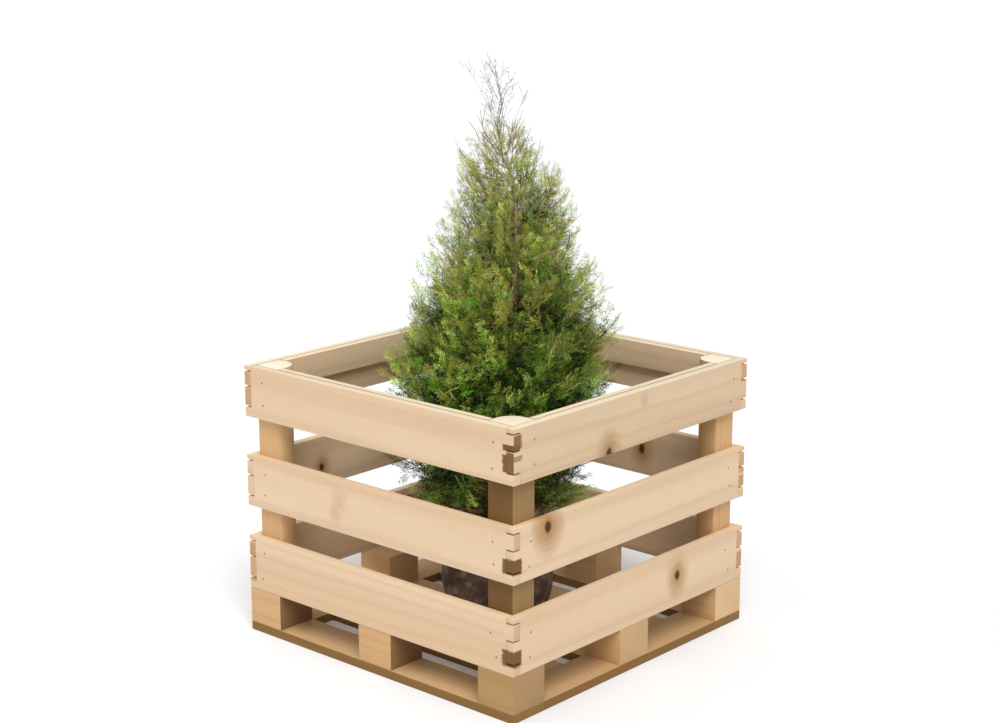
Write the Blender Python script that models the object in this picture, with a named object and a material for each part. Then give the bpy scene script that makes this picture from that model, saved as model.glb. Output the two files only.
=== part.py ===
"""A young thuja on its cloth-wrapped root ball, standing in a slatted pallet crate.

Metres, +Z up. The origin is on the ground under the middle of the crate, whose walls
are parallel to X and Y. The front wall faces -Y and the right wall faces +X.
"""

import math
import random

import bmesh
import bpy
from mathutils import Vector
from mathutils.bvhtree import BVHTree

# Gap kept between pieces that touch, and the clearance that foliage keeps on each side.
FIT = 0.0003
SEAT_GAP = 0.0005
LEAF_CLEARANCE = 0.0022

# Crate, from the ground up.
CRATE_SIDE = 0.800
BASE_THICK = 0.0205
BASE_BOARD_WIDTH = 0.100
FLOOR_BOARD_WIDTH = 0.120
FLOOR_BOARD_STEP = 0.180
BLOCK_SIDE = 0.098
BLOCK_HEIGHT = 0.0818
BOARD_THICK = 0.020
POST_SIDE = 0.067
POST_ROUND = 0.040
LATH_THICK = 0.018
LATH_HEIGHT = 0.060
# Each row of wall boards: name, height of its lower edge, width of the board.
WALL_ROWS = (
    ("lower", 0.1030, 0.1250),
    ("middle", 0.3000, 0.1190),
    ("upper", 0.5085, 0.1175),
)
# The comb joint at a corner: shares of a board's width, from its upper edge, where the
# boards along X reach the corner. The boards along Y reach it in between.
X_FINGERS = ((0.10, 0.40), (0.80, 1.00))
Y_FINGERS = ((0.00, 0.10), (0.40, 0.80))
FINGER_SLIT = 0.004

# Root ball: radius and height above its foot, from the flat underside to the tied
# neck of the cloth and down into the neck, where the trunk stands.
BALL_PROFILE = (
    (0.074, 0.000),
    (0.098, 0.010),
    (0.116, 0.046),
    (0.126, 0.092),
    (0.124, 0.134),
    (0.108, 0.170),
    (0.078, 0.194),
    (0.046, 0.206),
    (0.029, 0.216),
    (0.025, 0.227),
    (0.033, 0.246),
    (0.027, 0.249),
    (0.0205, 0.232),
    (0.0205, 0.2045),
)
BALL_SIDES = 22
BALL_SHOULDER = 0.206
# Folds of the cloth: their depth, then for each set its weight, the folds round the
# ball, their turn for each metre up and where they start.
BALL_FOLDS = 0.0035
BALL_WAVES = ((1.0, 3, 9.0, 0.0), (0.6, 5, -14.0, 1.0))
BALL_FOOT = BASE_THICK + FIT
BALL_SEAT = BALL_FOOT + BALL_PROFILE[-1][1]

# Trunk and leader. The lean is measured along one level direction, LEAN_BEARING.
TRUNK_FOOT = BALL_SEAT + FIT
TRUNK_TOP = 1.100
PLANT_TOP = 1.315
TRUNK_RADIUS = 0.0100
TRUNK_TIP_RADIUS = 0.0022
TRUNK_FLARE = 0.0062
FLARE_HEIGHT = 0.022
TRUNK_SIDES = 10
LEAN_BEARING = math.radians(41.7)
LEAN = (
    (0.225, 0.000),
    (0.450, 0.016),
    (0.800, 0.041),
    (1.010, 0.041),
    (1.060, 0.026),
    (1.100, 0.010),
    (1.150, 0.000),
    (1.205, 0.010),
    (1.265, -0.002),
    (1.315, -0.022),
)
# The trunk also sways square to its lean: by how much, and radians for each metre up.
TRUNK_SWAY = 0.007
SWAY_TURN = 5.5
ROOT_RIDGES = 0.10

# Crown: its reach from the trunk at each height, fuller on the side away from the lean.
CROWN_REACH = (
    (0.245, 0.150),
    (0.300, 0.205),
    (0.380, 0.255),
    (0.500, 0.278),
    (0.620, 0.274),
    (0.700, 0.256),
    (0.780, 0.232),
    (0.855, 0.206),
    (0.917, 0.166),
    (1.000, 0.120),
    (1.060, 0.092),
    (1.110, 0.070),
    (1.150, 0.040),
)
FULLER_SIDE = 0.09
# Lumps of its outline: their depth, then for each set its weight, the lumps round the
# crown and their turn for each metre up.
CROWN_LUMPS = 0.075
CROWN_WAVES = ((0.6, 3, 17.0), (0.4, 7, -29.0))
# Its lower border, which drops near the walls of the crate.
CROWN_FLOOR = 0.288
SKIRT_DROP = 0.035
SKIRT_START = 0.14
SKIRT_WIDTH = 0.05
# Boughs sweep up: a tier's borders rise by this much for each metre outwards.
SWEEP = 0.55
BORDER_WAVE = 0.010
BORDER_SHIFT = 2.1
# The borders between sectors turn round the trunk, in radians for each metre up, and wave.
SECTOR_SWIRL = 0.7
SWIRL_MIDDLE = 0.6
SWIRL_WAVE = 0.12
SWIRL_TURN = 21
TRUNK_CLEARANCE = 0.004
# Each tier: name, height of its upper border at the trunk, sectors, bearing of the first,
# bough length, twigs on each mass, share of its space that its core fills.
TIERS = (
    ("skirt", 0.335, 3, 0.35, 0.060, 7, 0.76),
    ("low", 0.460, 3, 1.40, 0.058, 7, 0.76),
    ("middle", 0.590, 3, 0.35, 0.0, 7, 0.74),
    ("high", 0.730, 3, 1.40, 0.0, 7, 0.68),
    ("upper", 0.880, 2, 0.60, 0.0, 8, 0.56),
    ("spire", 1.140, 2, 2.20, 0.0, 9, 0.0),
)
BOUGH_RADIUS = 0.0046
BOUGH_TIP_RADIUS = 0.0030
STEM_RADIUS = 0.0030
STEM_TIP_RADIUS = 0.0014
TWIG_RADIUS = 0.0020
TWIG_TIP_RADIUS = 0.0011
BLADE_LENGTH = (0.058, 0.105)
SHORTEST_BLADE = 0.036
BLADE_WIDTH = 0.44
BLADE_THICK = 0.0028
# A blade's toothed outline round its tip: share of its length, share of half its width.
BLADE_OUTLINE = (
    (0.00, 0.13),
    (0.50, 1.00),
    (0.66, 0.42),
    (1.00, 0.00),
    (0.52, -0.45),
    (0.34, -0.95),
    (0.00, -0.13),
)
# Sprays on a twig: the angle that each leaves it by, and its place along the twig.
SPRAYS = ((0.0, 1.0), (0.85, 0.85), (0.85, 0.7), (0.6, 0.95))
MOST_SPRAYS = 3
SPRAY_LIFT = 0.25
SPRAY_SINK = 0.005
# A stem runs out to this share of the crown's reach, a twig to this share of its target.
STEM_SHARE = 0.76
TWIG_SHARE = 0.72
CORE_REACH = 0.16
TWIG_CANDIDATES = 240

# The bare leader: heights are measured from the trunk's tip.
LEADER_SPREAD = 0.070
LEADER_FLOOR = 0.052
LEADER_TWIGS = 8
LEADER_TWIG_HEIGHT = 0.060
LEADER_TWIG_SPAN = 0.125
LEADER_TIP_RADIUS = 0.0009
LEADER_TURN = 2.4
SEED = 7


def clear_scene():
    for thing in list(bpy.data.objects):
        bpy.data.objects.remove(thing, do_unlink=True)


def material(name, colour, roughness):
    made = bpy.data.materials.new(name)
    made.use_nodes = True
    shader = made.node_tree.nodes["Principled BSDF"]
    shader.inputs["Base Color"].default_value = (*colour, 1.0)
    shader.inputs["Roughness"].default_value = roughness
    shader.inputs["Metallic"].default_value = 0.0
    made.diffuse_color = (*colour, 1.0)
    return made


def new_object(name, shape, finish=None, parent=None, collection=None):
    """An object from a bmesh, with its normals pointing out."""
    bmesh.ops.recalc_face_normals(shape, faces=shape.faces)
    mesh = bpy.data.meshes.new(name)
    shape.to_mesh(mesh)
    shape.free()
    made = bpy.data.objects.new(name, mesh)
    if finish:
        mesh.materials.append(finish)
    (collection or bpy.context.scene.collection).objects.link(made)
    made.parent = parent
    return made


def box(name, low, high, finish, parent):
    """A plank or block between two opposite corners, placed by its centre."""
    shape = bmesh.new()
    size = Vector(high) - Vector(low)
    bmesh.ops.create_cube(shape, size=1.0)
    bmesh.ops.scale(shape, vec=size, verts=shape.verts)
    made = new_object(name, shape, finish, parent)
    made.location = (Vector(low) + Vector(high)) / 2
    return made


def prism(name, outline, depth, finish, parent):
    """A flat outline of 3-D points pushed through by a vector."""
    shape = bmesh.new()
    face = shape.faces.new([shape.verts.new(point) for point in outline])
    pushed = bmesh.ops.extrude_face_region(shape, geom=[face])["geom"]
    moved = [item for item in pushed if isinstance(item, bmesh.types.BMVert)]
    bmesh.ops.translate(shape, vec=depth, verts=moved)
    return new_object(name, shape, finish, parent)


def along(table, height):
    """The value that a (height, value) table has at a height, eased between its points."""
    if height <= table[0][0]:
        return table[0][1]
    for (low, first), (high, second) in zip(table, table[1:]):
        if height <= high:
            share = (height - low) / (high - low)
            return first + (second - first) * (1 - math.cos(math.pi * share)) / 2
    return table[-1][1]


# Crate

def finger_steps(width, fingers):
    """Points up one end of a wall board, as (distance from its middle, height)."""
    full = CRATE_SIDE / 2
    shoulder = full - BOARD_THICK - FIT
    steps = []
    for top_share, foot_share in reversed(fingers):
        foot = width * (1 - foot_share)
        top = width * (1 - top_share)
        if foot > 0:
            foot += FINGER_SLIT / 2
            steps += [(shoulder, foot)]
        if top < width:
            top -= FINGER_SLIT / 2
        steps += [(full, foot), (full, top)]
        if top < width:
            steps += [(shoulder, top)]
    if steps[0][1] > 0:
        steps.insert(0, (shoulder, 0.0))
    if steps[-1][1] < width:
        steps.append((shoulder, width))
    return steps


def wall_board(side, row, base, width, finish, parent):
    along_x = side in ("front", "back")
    inner = -1 if side in ("back", "right") else 1
    face = -inner * CRATE_SIDE / 2
    steps = finger_steps(width, X_FINGERS if along_x else Y_FINGERS)
    outline = steps + [(-reach, height) for reach, height in reversed(steps)]
    if along_x:
        points = [(reach, face, base + height) for reach, height in outline]
        depth = (0, inner * BOARD_THICK, 0)
    else:
        points = [(face, reach, base + height) for reach, height in outline]
        depth = (inner * BOARD_THICK, 0, 0)
    return prism(f"wall_{side}_{row}", points, depth, finish, parent)


def post(name, signs, finish, parent):
    """A square corner post with its inner arris rounded off, from block to rim."""
    outer = CRATE_SIDE / 2 - BOARD_THICK - FIT
    inner = outer - POST_SIDE
    centre = inner + POST_ROUND
    plan = [(outer, outer), (inner, outer)]
    arc_steps = 6
    for step in range(arc_steps + 1):
        turn = math.pi + step * math.pi / 2 / arc_steps
        plan.append((centre + POST_ROUND * math.cos(turn), centre + POST_ROUND * math.sin(turn)))
    plan.append((outer, inner))
    foot = WALL_ROWS[0][1]
    rim = WALL_ROWS[-1][1] + WALL_ROWS[-1][2]
    points = [(signs[0] * x, signs[1] * y, foot) for x, y in plan]
    return prism(name, points, (0, 0, rim - foot), finish, parent)


def build_base(finish, parent):
    half = CRATE_SIDE / 2
    inside = half - BASE_BOARD_WIDTH - FIT
    for name, sign in (("base_front", -1), ("base_back", 1)):
        ends = sorted((sign * half, sign * (half - BASE_BOARD_WIDTH)))
        box(name, (-half, ends[0], 0), (half, ends[1], BASE_THICK), finish, parent)
    for name, sign in (("base_left", -1), ("base_right", 1)):
        ends = sorted((sign * half, sign * (half - BASE_BOARD_WIDTH)))
        box(name, (ends[0], -inside, 0), (ends[1], inside, BASE_THICK), finish, parent)
    for name, place in (("floor_front", -1), ("floor_middle", 0), ("floor_back", 1)):
        y = place * FLOOR_BOARD_STEP
        low = (-inside, y - FLOOR_BOARD_WIDTH / 2, 0)
        high = (inside, y + FLOOR_BOARD_WIDTH / 2, BASE_THICK)
        box(name, low, high, finish, parent)


def build_blocks(finish, parent):
    half = CRATE_SIDE / 2
    reach = half - BLOCK_SIDE / 2
    foot = BASE_THICK + FIT
    places = {
        "block_front_left": (-reach, -reach),
        "block_front_middle": (0, -reach),
        "block_front_right": (reach, -reach),
        "block_right_middle": (reach, 0),
        "block_back_right": (reach, reach),
        "block_back_middle": (0, reach),
        "block_back_left": (-reach, reach),
        "block_left_middle": (-reach, 0),
    }
    for name, (x, y) in places.items():
        low = (x - BLOCK_SIDE / 2, y - BLOCK_SIDE / 2, foot)
        high = (x + BLOCK_SIDE / 2, y + BLOCK_SIDE / 2, foot + BLOCK_HEIGHT)
        box(name, low, high, finish, parent)


def build_laths(finish, parent):
    """Laths inside the rim of each wall, level with its top board and between the posts."""
    outer = CRATE_SIDE / 2 - BOARD_THICK - FIT
    inner = outer - LATH_THICK
    end = outer - POST_SIDE - FIT
    top = WALL_ROWS[-1][1] + WALL_ROWS[-1][2]
    foot = top - LATH_HEIGHT
    box("lath_front", (-end, -outer, foot), (end, -inner, top), finish, parent)
    box("lath_back", (-end, inner, foot), (end, outer, top), finish, parent)
    box("lath_left", (-outer, -end, foot), (-inner, end, top), finish, parent)
    box("lath_right", (inner, -end, foot), (outer, end, top), finish, parent)


def build_crate(finish, parent):
    build_base(finish, parent)
    build_blocks(finish, parent)
    for row, base, width in WALL_ROWS:
        for side in ("front", "back", "left", "right"):
            wall_board(side, row, base, width, finish, parent)
    post("post_front_left", (-1, -1), finish, parent)
    post("post_front_right", (1, -1), finish, parent)
    post("post_back_left", (-1, 1), finish, parent)
    post("post_back_right", (1, 1), finish, parent)
    build_laths(finish, parent)


# Root ball

def build_root_ball(finish, parent):
    """A turned ball of soil in cloth, folded towards its neck, hollow where the trunk stands."""
    shape = bmesh.new()
    rings = []
    for radius, height in BALL_PROFILE:
        ring = []
        swell = math.sin(math.pi * min(height / BALL_SHOULDER, 1.0))
        for side in range(BALL_SIDES):
            turn = 2 * math.pi * side / BALL_SIDES
            fold = sum(
                weight * math.sin(folds * turn + rise * height + start)
                for weight, folds, rise, start in BALL_WAVES
            )
            reach = radius + BALL_FOLDS * swell * fold
            ring.append(shape.verts.new((reach * math.cos(turn), reach * math.sin(turn), height)))
        rings.append(ring)
    for lower, upper in zip(rings, rings[1:]):
        for side in range(BALL_SIDES):
            after = (side + 1) % BALL_SIDES
            shape.faces.new((lower[side], lower[after], upper[after], upper[side]))
    shape.faces.new(rings[0])
    shape.faces.new(rings[-1])
    ball = new_object("root_ball", shape, finish, parent)
    ball.location = (0, 0, BALL_FOOT)
    ball.data.shade_smooth()
    ball.data.set_sharp_from_angle(angle=math.radians(50))
    return ball


# Trunk, boughs and twigs

def trunk_line(height):
    """The middle of the trunk, or of the leader above it, at a height."""
    lean = along(LEAN, height)
    sway = TRUNK_SWAY * math.sin(SWAY_TURN * (height - TRUNK_FOOT))
    x = lean * math.cos(LEAN_BEARING) - sway * math.sin(LEAN_BEARING)
    y = lean * math.sin(LEAN_BEARING) + sway * math.cos(LEAN_BEARING)
    return Vector((x, y, height))


def trunk_way(height):
    """The direction that the trunk runs in at a height."""
    return (trunk_line(height + 0.01) - trunk_line(height - 0.01)).normalized()


def trunk_radius(height):
    share = min(max((height - TRUNK_FOOT) / (TRUNK_TOP - TRUNK_FOOT), 0.0), 1.0)
    flare = TRUNK_FLARE * math.exp(-(height - TRUNK_FOOT) / FLARE_HEIGHT)
    return TRUNK_RADIUS + (TRUNK_TIP_RADIUS - TRUNK_RADIUS) * share ** 0.85 + flare


def tube(path, radii, sides, start_normal=None):
    """A tapering limb as a closed bmesh. Its first ring stands square to start_normal."""
    shape = bmesh.new()
    rings = []
    across = None
    for index, point in enumerate(path):
        before = path[max(index - 1, 0)]
        after = path[min(index + 1, len(path) - 1)]
        normal = (after - before).normalized()
        if index == 0 and start_normal:
            normal = start_normal.normalized()
        if across is None:
            across = normal.orthogonal()
        across = (across - across.dot(normal) * normal).normalized()
        second = normal.cross(across)
        ring = []
        for side in range(sides):
            turn = 2 * math.pi * side / sides
            offset = across * math.cos(turn) + second * math.sin(turn)
            ring.append(shape.verts.new(point + radii[index] * offset))
        rings.append(ring)
    for lower, upper in zip(rings, rings[1:]):
        for side in range(sides):
            after = (side + 1) % sides
            shape.faces.new((lower[side], lower[after], upper[after], upper[side]))
    shape.faces.new(list(reversed(rings[0])))
    shape.faces.new(rings[-1])
    return shape


def build_trunk(finish, parent):
    rings = 20
    heights = [TRUNK_FOOT, TRUNK_FOOT + 0.012, TRUNK_FOOT + 0.032]
    heights += [
        heights[-1] + (TRUNK_TOP - heights[-1]) * (step / rings) for step in range(1, rings + 1)
    ]
    shape = bmesh.new()
    stacked = []
    for height in heights:
        middle = trunk_line(height)
        ring = []
        for side in range(TRUNK_SIDES):
            turn = 2 * math.pi * side / TRUNK_SIDES
            fade = math.exp(-(height - TRUNK_FOOT) / FLARE_HEIGHT)
            reach = trunk_radius(height) * (1 + ROOT_RIDGES * fade * math.sin(3 * turn))
            offset = Vector((reach * math.cos(turn), reach * math.sin(turn), 0))
            ring.append(shape.verts.new(middle + offset))
        stacked.append(ring)
    for lower, upper in zip(stacked, stacked[1:]):
        for side in range(TRUNK_SIDES):
            after = (side + 1) % TRUNK_SIDES
            shape.faces.new((lower[side], lower[after], upper[after], upper[side]))
    shape.faces.new(list(reversed(stacked[0])))
    shape.faces.new(stacked[-1])
    trunk = new_object("trunk", shape, finish, parent)
    trunk.data.shade_smooth()
    trunk.data.set_sharp_from_angle(angle=math.radians(50))
    return trunk


# The crown's space and its shares

def crown_place(point):
    """Height, distance from the trunk's middle and bearing of a point."""
    offset = point - trunk_line(point.z)
    return point.z, math.hypot(offset.x, offset.y), math.atan2(offset.y, offset.x)


def crown_reach(height, bearing):
    """How far the crown reaches: lumpy, and fuller away from the lean."""
    fuller = 1 - FULLER_SIDE * math.cos(bearing - LEAN_BEARING)
    lumps = sum(
        weight * math.sin(waves * bearing + turn * height) for weight, waves, turn in CROWN_WAVES
    )
    return along(CROWN_REACH, height) * fuller * (1 + CROWN_LUMPS * lumps)


def tier_border(index, distance, bearing):
    """The height of the border above a tier, or below the first when index is -1."""
    if index < 0:
        return CROWN_FLOOR - SKIRT_DROP * min(max((distance - SKIRT_START) / SKIRT_WIDTH, 0.0), 1.0)
    wave = BORDER_WAVE * math.sin(3 * bearing + BORDER_SHIFT * index)
    return TIERS[index][1] + SWEEP * distance + wave


def swirl(height):
    """How far the borders between sectors have turned at a height."""
    return SECTOR_SWIRL * (height - SWIRL_MIDDLE) + SWIRL_WAVE * math.sin(SWIRL_TURN * height)


def point_at(height, distance, bearing):
    middle = trunk_line(height)
    return middle + Vector((distance * math.cos(bearing), distance * math.sin(bearing), 0))


class Space:
    """The share of the crown that one mass keeps to."""

    def __init__(self, tier, sector, sectors, first, inner):
        self.tier = tier
        self.half = math.pi / sectors
        self.middle = first + 2 * math.pi * sector / sectors
        self.inner = inner

    def holds(self, point, margin):
        height, distance, bearing = crown_place(point)
        if distance < max(self.inner, trunk_radius(height) + TRUNK_CLEARANCE):
            return False
        if distance > crown_reach(height, bearing):
            return False
        if height < tier_border(self.tier - 1, distance, bearing) + margin:
            return False
        if height > tier_border(self.tier, distance, bearing) - margin:
            return False
        off = math.remainder(bearing - self.middle - swirl(height), 2 * math.pi)
        left = self.half - abs(off)
        return left > 0 and distance * math.sin(min(left, math.pi / 2)) > margin

    def lowest(self):
        return tier_border(self.tier - 1, 0.02, self.middle) - 0.02

    def highest(self):
        return tier_border(self.tier, 0.26, self.middle) + 0.02

    def clear_run(self, start, direction, margin, most):
        """How far a straight run from start stays in the space."""
        step = 0.004
        run = step
        while run <= most and self.holds(start + direction * run, margin):
            run += step
        return run - step


class LeaderSpace:
    """The narrow space round the bare leader at the top of the plant."""

    def holds(self, point, margin):
        height, distance, _ = crown_place(point)
        if not TRUNK_TOP + LEADER_FLOOR < height < PLANT_TOP:
            return False
        return distance < LEADER_SPREAD - margin


def middle_height(space, distance, bearing):
    low = tier_border(space.tier - 1, distance, bearing)
    high = tier_border(space.tier, distance, bearing)
    return low + 0.48 * (high - low)


def limb_points(space, near, far, count):
    """Points out along the middle of a space, from one distance to another."""
    points = []
    for step in range(count):
        distance = near + (far - near) * step / (count - 1)
        bearing = space.middle
        for _ in range(3):
            height = middle_height(space, distance, bearing)
            bearing = space.middle + swirl(height)
        points.append(point_at(height, distance, bearing))
    return points


# Foliage

def blade_shape(root, ahead, sideways, length):
    """A toothed spray: a flat star of two fans, thickest on its midrib."""
    shape = bmesh.new()
    half = length * BLADE_WIDTH / 2
    ring = [
        shape.verts.new(root + ahead * share * length + sideways * width * half)
        for share, width in BLADE_OUTLINE
    ]
    up = ahead.cross(sideways) * BLADE_THICK / 2
    middle = root + ahead * length * 0.45
    for centre in (shape.verts.new(middle + up), shape.verts.new(middle - up)):
        for index, vertex in enumerate(ring):
            shape.faces.new((vertex, ring[(index + 1) % len(ring)], centre))
    return shape, [vertex.co.copy() for vertex in ring]


def blade(space, root, ahead, rng, taken):
    """One spray at the root, turned at random and shortened until it fits, or nothing."""
    turned = ahead.orthogonal().normalized()
    angle = rng.uniform(0, math.pi)
    sideways = turned * math.cos(angle) + ahead.cross(turned) * math.sin(angle)
    length = rng.uniform(*BLADE_LENGTH)
    while length > SHORTEST_BLADE:
        shape, outline = blade_shape(root, ahead, sideways, length)
        tree = BVHTree.FromBMesh(shape)
        fits = all(space.holds(point, LEAF_CLEARANCE) for point in outline[1:-1])
        if fits and not any(tree.overlap(other) for other in taken):
            taken.append(tree)
            return shape
        shape.free()
        length *= 0.86
    return None


def core_shape(space, centre, share):
    """A lump that fills the inside of a space and stays well within it."""
    shape = bmesh.new()
    bmesh.ops.create_icosphere(shape, subdivisions=2, radius=1.0)
    for vertex in shape.verts:
        direction = vertex.co.normalized()
        run = space.clear_run(centre, direction, LEAF_CLEARANCE * 2, CORE_REACH / share)
        vertex.co = centre + direction * max(run * share, 0.006)
    return shape


def nearest(point, others):
    return min(((point - other).length for other in others), default=0.0)


def twig_targets(space, wanted, rng):
    """Points spread evenly through a space, the outer ones first."""
    low = space.lowest()
    high = space.highest()
    found = []
    for _ in range(TWIG_CANDIDATES):
        height = rng.uniform(low, high)
        bearing = space.middle + swirl(height) + rng.uniform(-space.half, space.half)
        distance = crown_reach(height, bearing) * math.sqrt(rng.uniform(0.30, 0.95))
        point = point_at(height, distance, bearing)
        if space.holds(point, LEAF_CLEARANCE * 3):
            found.append((point, distance / crown_reach(height, bearing)))
    chosen = []
    while found and len(chosen) < wanted:
        best = max(found, key=lambda item: item[1] * nearest(item[0], chosen))
        found.remove(best)
        chosen.append(best[0])
    return chosen


def lean_out(ahead, rng, spread):
    """A direction that leaves another by an angle, mostly to the sides and up."""
    side = ahead.cross(Vector((0, 0, 1))).normalized()
    up = side.cross(ahead).normalized()
    roll = rng.uniform(-math.pi, math.pi)
    away = side * math.cos(roll) + up * math.sin(roll)
    return (ahead * math.cos(spread) + away * math.sin(spread)).normalized()


def keep_largest(joined):
    """Leaves the largest closed body of a joined mesh, so hollows and scraps go."""
    shape = bmesh.new()
    shape.from_mesh(joined.data)
    bmesh.ops.remove_doubles(shape, verts=shape.verts, dist=1e-6)
    bmesh.ops.dissolve_degenerate(shape, edges=shape.edges, dist=1e-6)
    bmesh.ops.triangulate(shape, faces=shape.faces)
    unseen = set(shape.faces)
    bodies = []
    while unseen:
        stack = [unseen.pop()]
        body = []
        while stack:
            face = stack.pop()
            body.append(face)
            for edge in face.edges:
                for other in edge.link_faces:
                    if other in unseen:
                        unseen.remove(other)
                        stack.append(other)
        bodies.append(body)
    bodies.sort(key=len)
    for body in bodies[:-1]:
        bmesh.ops.delete(shape, geom=body, context="FACES")
    shape.to_mesh(joined.data)
    shape.free()


def join(stem, collection):
    """One Boolean union of the stem with everything in the collection, applied."""
    union = stem.modifiers.new("join", "BOOLEAN")
    union.operation = "UNION"
    union.operand_type = "COLLECTION"
    union.collection = collection
    union.solver = "EXACT"
    bpy.context.view_layer.update()
    graph = bpy.context.evaluated_depsgraph_get()
    joined = bpy.data.meshes.new_from_object(stem.evaluated_get(graph), depsgraph=graph)
    stem.modifiers.clear()
    stem.data = joined
    for thing in list(collection.objects):
        bpy.data.objects.remove(thing, do_unlink=True)
    bpy.data.collections.remove(collection)
    keep_largest(stem)


def twig_and_sprays(space, root, target, rng, taken):
    """The shapes of a twig towards a target and of its sprays, or none where it can't grow."""
    direction = (target - root).normalized()
    run = (target - root).length
    if space.clear_run(root, direction, LEAF_CLEARANCE, run) < run - LEAF_CLEARANCE * 3:
        return []
    tip = root.lerp(target, TWIG_SHARE)
    twig = tube([root, tip], [TWIG_RADIUS, TWIG_TIP_RADIUS], 3)
    twig_tree = BVHTree.FromBMesh(twig)
    sprays = []
    if not any(twig_tree.overlap(other) for other in taken):
        for spread, share in SPRAYS:
            if len(sprays) == MOST_SPRAYS:
                break
            heading = lean_out(direction, rng, spread) + Vector((0, 0, SPRAY_LIFT))
            heading.normalize()
            spray_root = root.lerp(tip, share) - heading * SPRAY_SINK
            spray = blade(space, spray_root, heading, rng, taken)
            if spray:
                sprays.append(spray)
    if not sprays:
        twig.free()
        return []
    taken.append(twig_tree)
    return [twig, *sprays]


def foliage_mass(name, space, start, first_way, twigs, core_share, finish, parent, rng):
    """Twigs and sprays that branch from one stem, joined into one solid."""
    far = crown_reach(start.z + 0.05, space.middle + swirl(start.z)) * STEM_SHARE
    near = crown_place(start)[1]
    count = 4
    path = limb_points(space, near, far, count)
    path[0] = start
    radii = [STEM_RADIUS + (STEM_TIP_RADIUS - STEM_RADIUS) * i / (count - 1) for i in range(count)]
    stem = new_object(name, tube(path, radii, 4, first_way), finish, parent)
    parts = bpy.data.collections.new(name + "_parts")
    bpy.context.scene.collection.children.link(parts)
    if core_share:
        new_object("core", core_shape(space, path[2], core_share), collection=parts)
    taken = []
    grown = 0
    for target in twig_targets(space, twigs * 3, rng):
        if grown == twigs:
            break
        reach = crown_place(target)[1] * rng.uniform(0.45, 0.75)
        place = min(max((reach - near) / (far - near), 0.12), 1.0) * (count - 1)
        index = min(int(place), count - 2)
        root = path[index].lerp(path[index + 1], place - index)
        shapes = twig_and_sprays(space, root, target, rng, taken)
        grown += bool(shapes)
        for shape in shapes:
            new_object("twig", shape, collection=parts)
    join(stem, parts)
    return stem


def trunk_seat(space):
    """Where a limb of this space starts on the trunk, and the direction square to the bark."""
    height = limb_points(space, TRUNK_RADIUS, TRUNK_RADIUS * 2, 2)[0].z
    begin = trunk_radius(height - BOUGH_RADIUS) + SEAT_GAP
    seat, after = limb_points(space, begin, begin + 0.02, 2)
    trunk_ahead = trunk_way(seat.z)
    outward = after - seat
    return seat, outward - trunk_ahead * outward.dot(trunk_ahead)


def build_crown(leaf_finish, bark_finish, parent):
    for tier, (tier_name, _, sectors, first, bough, twigs, core_share) in enumerate(TIERS):
        for sector in range(sectors):
            rng = random.Random(SEED * 1000 + tier * 10 + sector)
            inner = bough + 0.006 if bough else 0.0
            space = Space(tier, sector, sectors, first, inner)
            name = f"{tier_name}_{sector + 1}"
            start, ahead = trunk_seat(space)
            if bough:
                path = limb_points(space, crown_place(start)[1], bough, 4)
                radii = [BOUGH_RADIUS + (BOUGH_TIP_RADIUS - BOUGH_RADIUS) * i / 3 for i in range(4)]
                new_object(f"bough_{name}", tube(path, radii, 6, ahead), bark_finish, parent)
                ahead = (path[-1] - path[-2]).normalized()
                start = path[-1] + ahead * FIT
            foliage_mass(
                f"foliage_{name}", space, start, ahead, twigs, core_share, leaf_finish, parent, rng
            )


def leader_twig(root, bearing, space, rng, parts):
    """A thin side twig with one bend and, where there is room, a fork at the bend."""
    upward = Vector((0, 0, 1))
    out = Vector((math.cos(bearing), math.sin(bearing), 0))
    rise = rng.uniform(0.75, 1.15)
    bend = root + (out * math.cos(rise) + upward * math.sin(rise)) * rng.uniform(0.022, 0.036)
    rise += rng.uniform(-0.1, 0.35)
    tip = bend + (out * math.cos(rise) + upward * math.sin(rise)) * rng.uniform(0.020, 0.045)
    while not space.holds(tip, LEAF_CLEARANCE / 2):
        tip = bend.lerp(tip, 0.8)
    new_object("twig", tube([root, bend, tip], [0.0013, 0.0010, 0.0008], 3), collection=parts)
    fork = bend + (out.cross(upward) * 0.5 + upward).normalized() * 0.028
    if space.holds(fork, LEAF_CLEARANCE / 2):
        inside = root.lerp(bend, 0.9)
        new_object("twig", tube([inside, fork], [0.0010, 0.0007], 3), collection=parts)


def build_leader(finish, parent):
    """The bare top: the leader grows on from the trunk's tip, with thin side twigs."""
    rng = random.Random(SEED * 1000 + 99)
    space = LeaderSpace()
    count = 9
    foot = TRUNK_TOP + FIT
    path = [trunk_line(foot + (PLANT_TOP - foot) * i / (count - 1)) for i in range(count)]
    first = TRUNK_TIP_RADIUS * 0.95
    radii = [first + (LEADER_TIP_RADIUS - first) * i / (count - 1) for i in range(count)]
    stem = new_object("leader_twigs", tube(path, radii, 5, Vector((0, 0, 1))), finish, parent)
    parts = bpy.data.collections.new("leader_parts")
    bpy.context.scene.collection.children.link(parts)
    for index in range(LEADER_TWIGS):
        rise = LEADER_TWIG_HEIGHT + LEADER_TWIG_SPAN * index / (LEADER_TWIGS - 1)
        bearing = LEADER_TURN * index + rng.uniform(-0.4, 0.4)
        leader_twig(trunk_line(TRUNK_TOP + rise), bearing, space, rng, parts)
    join(stem, parts)
    return stem


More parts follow.
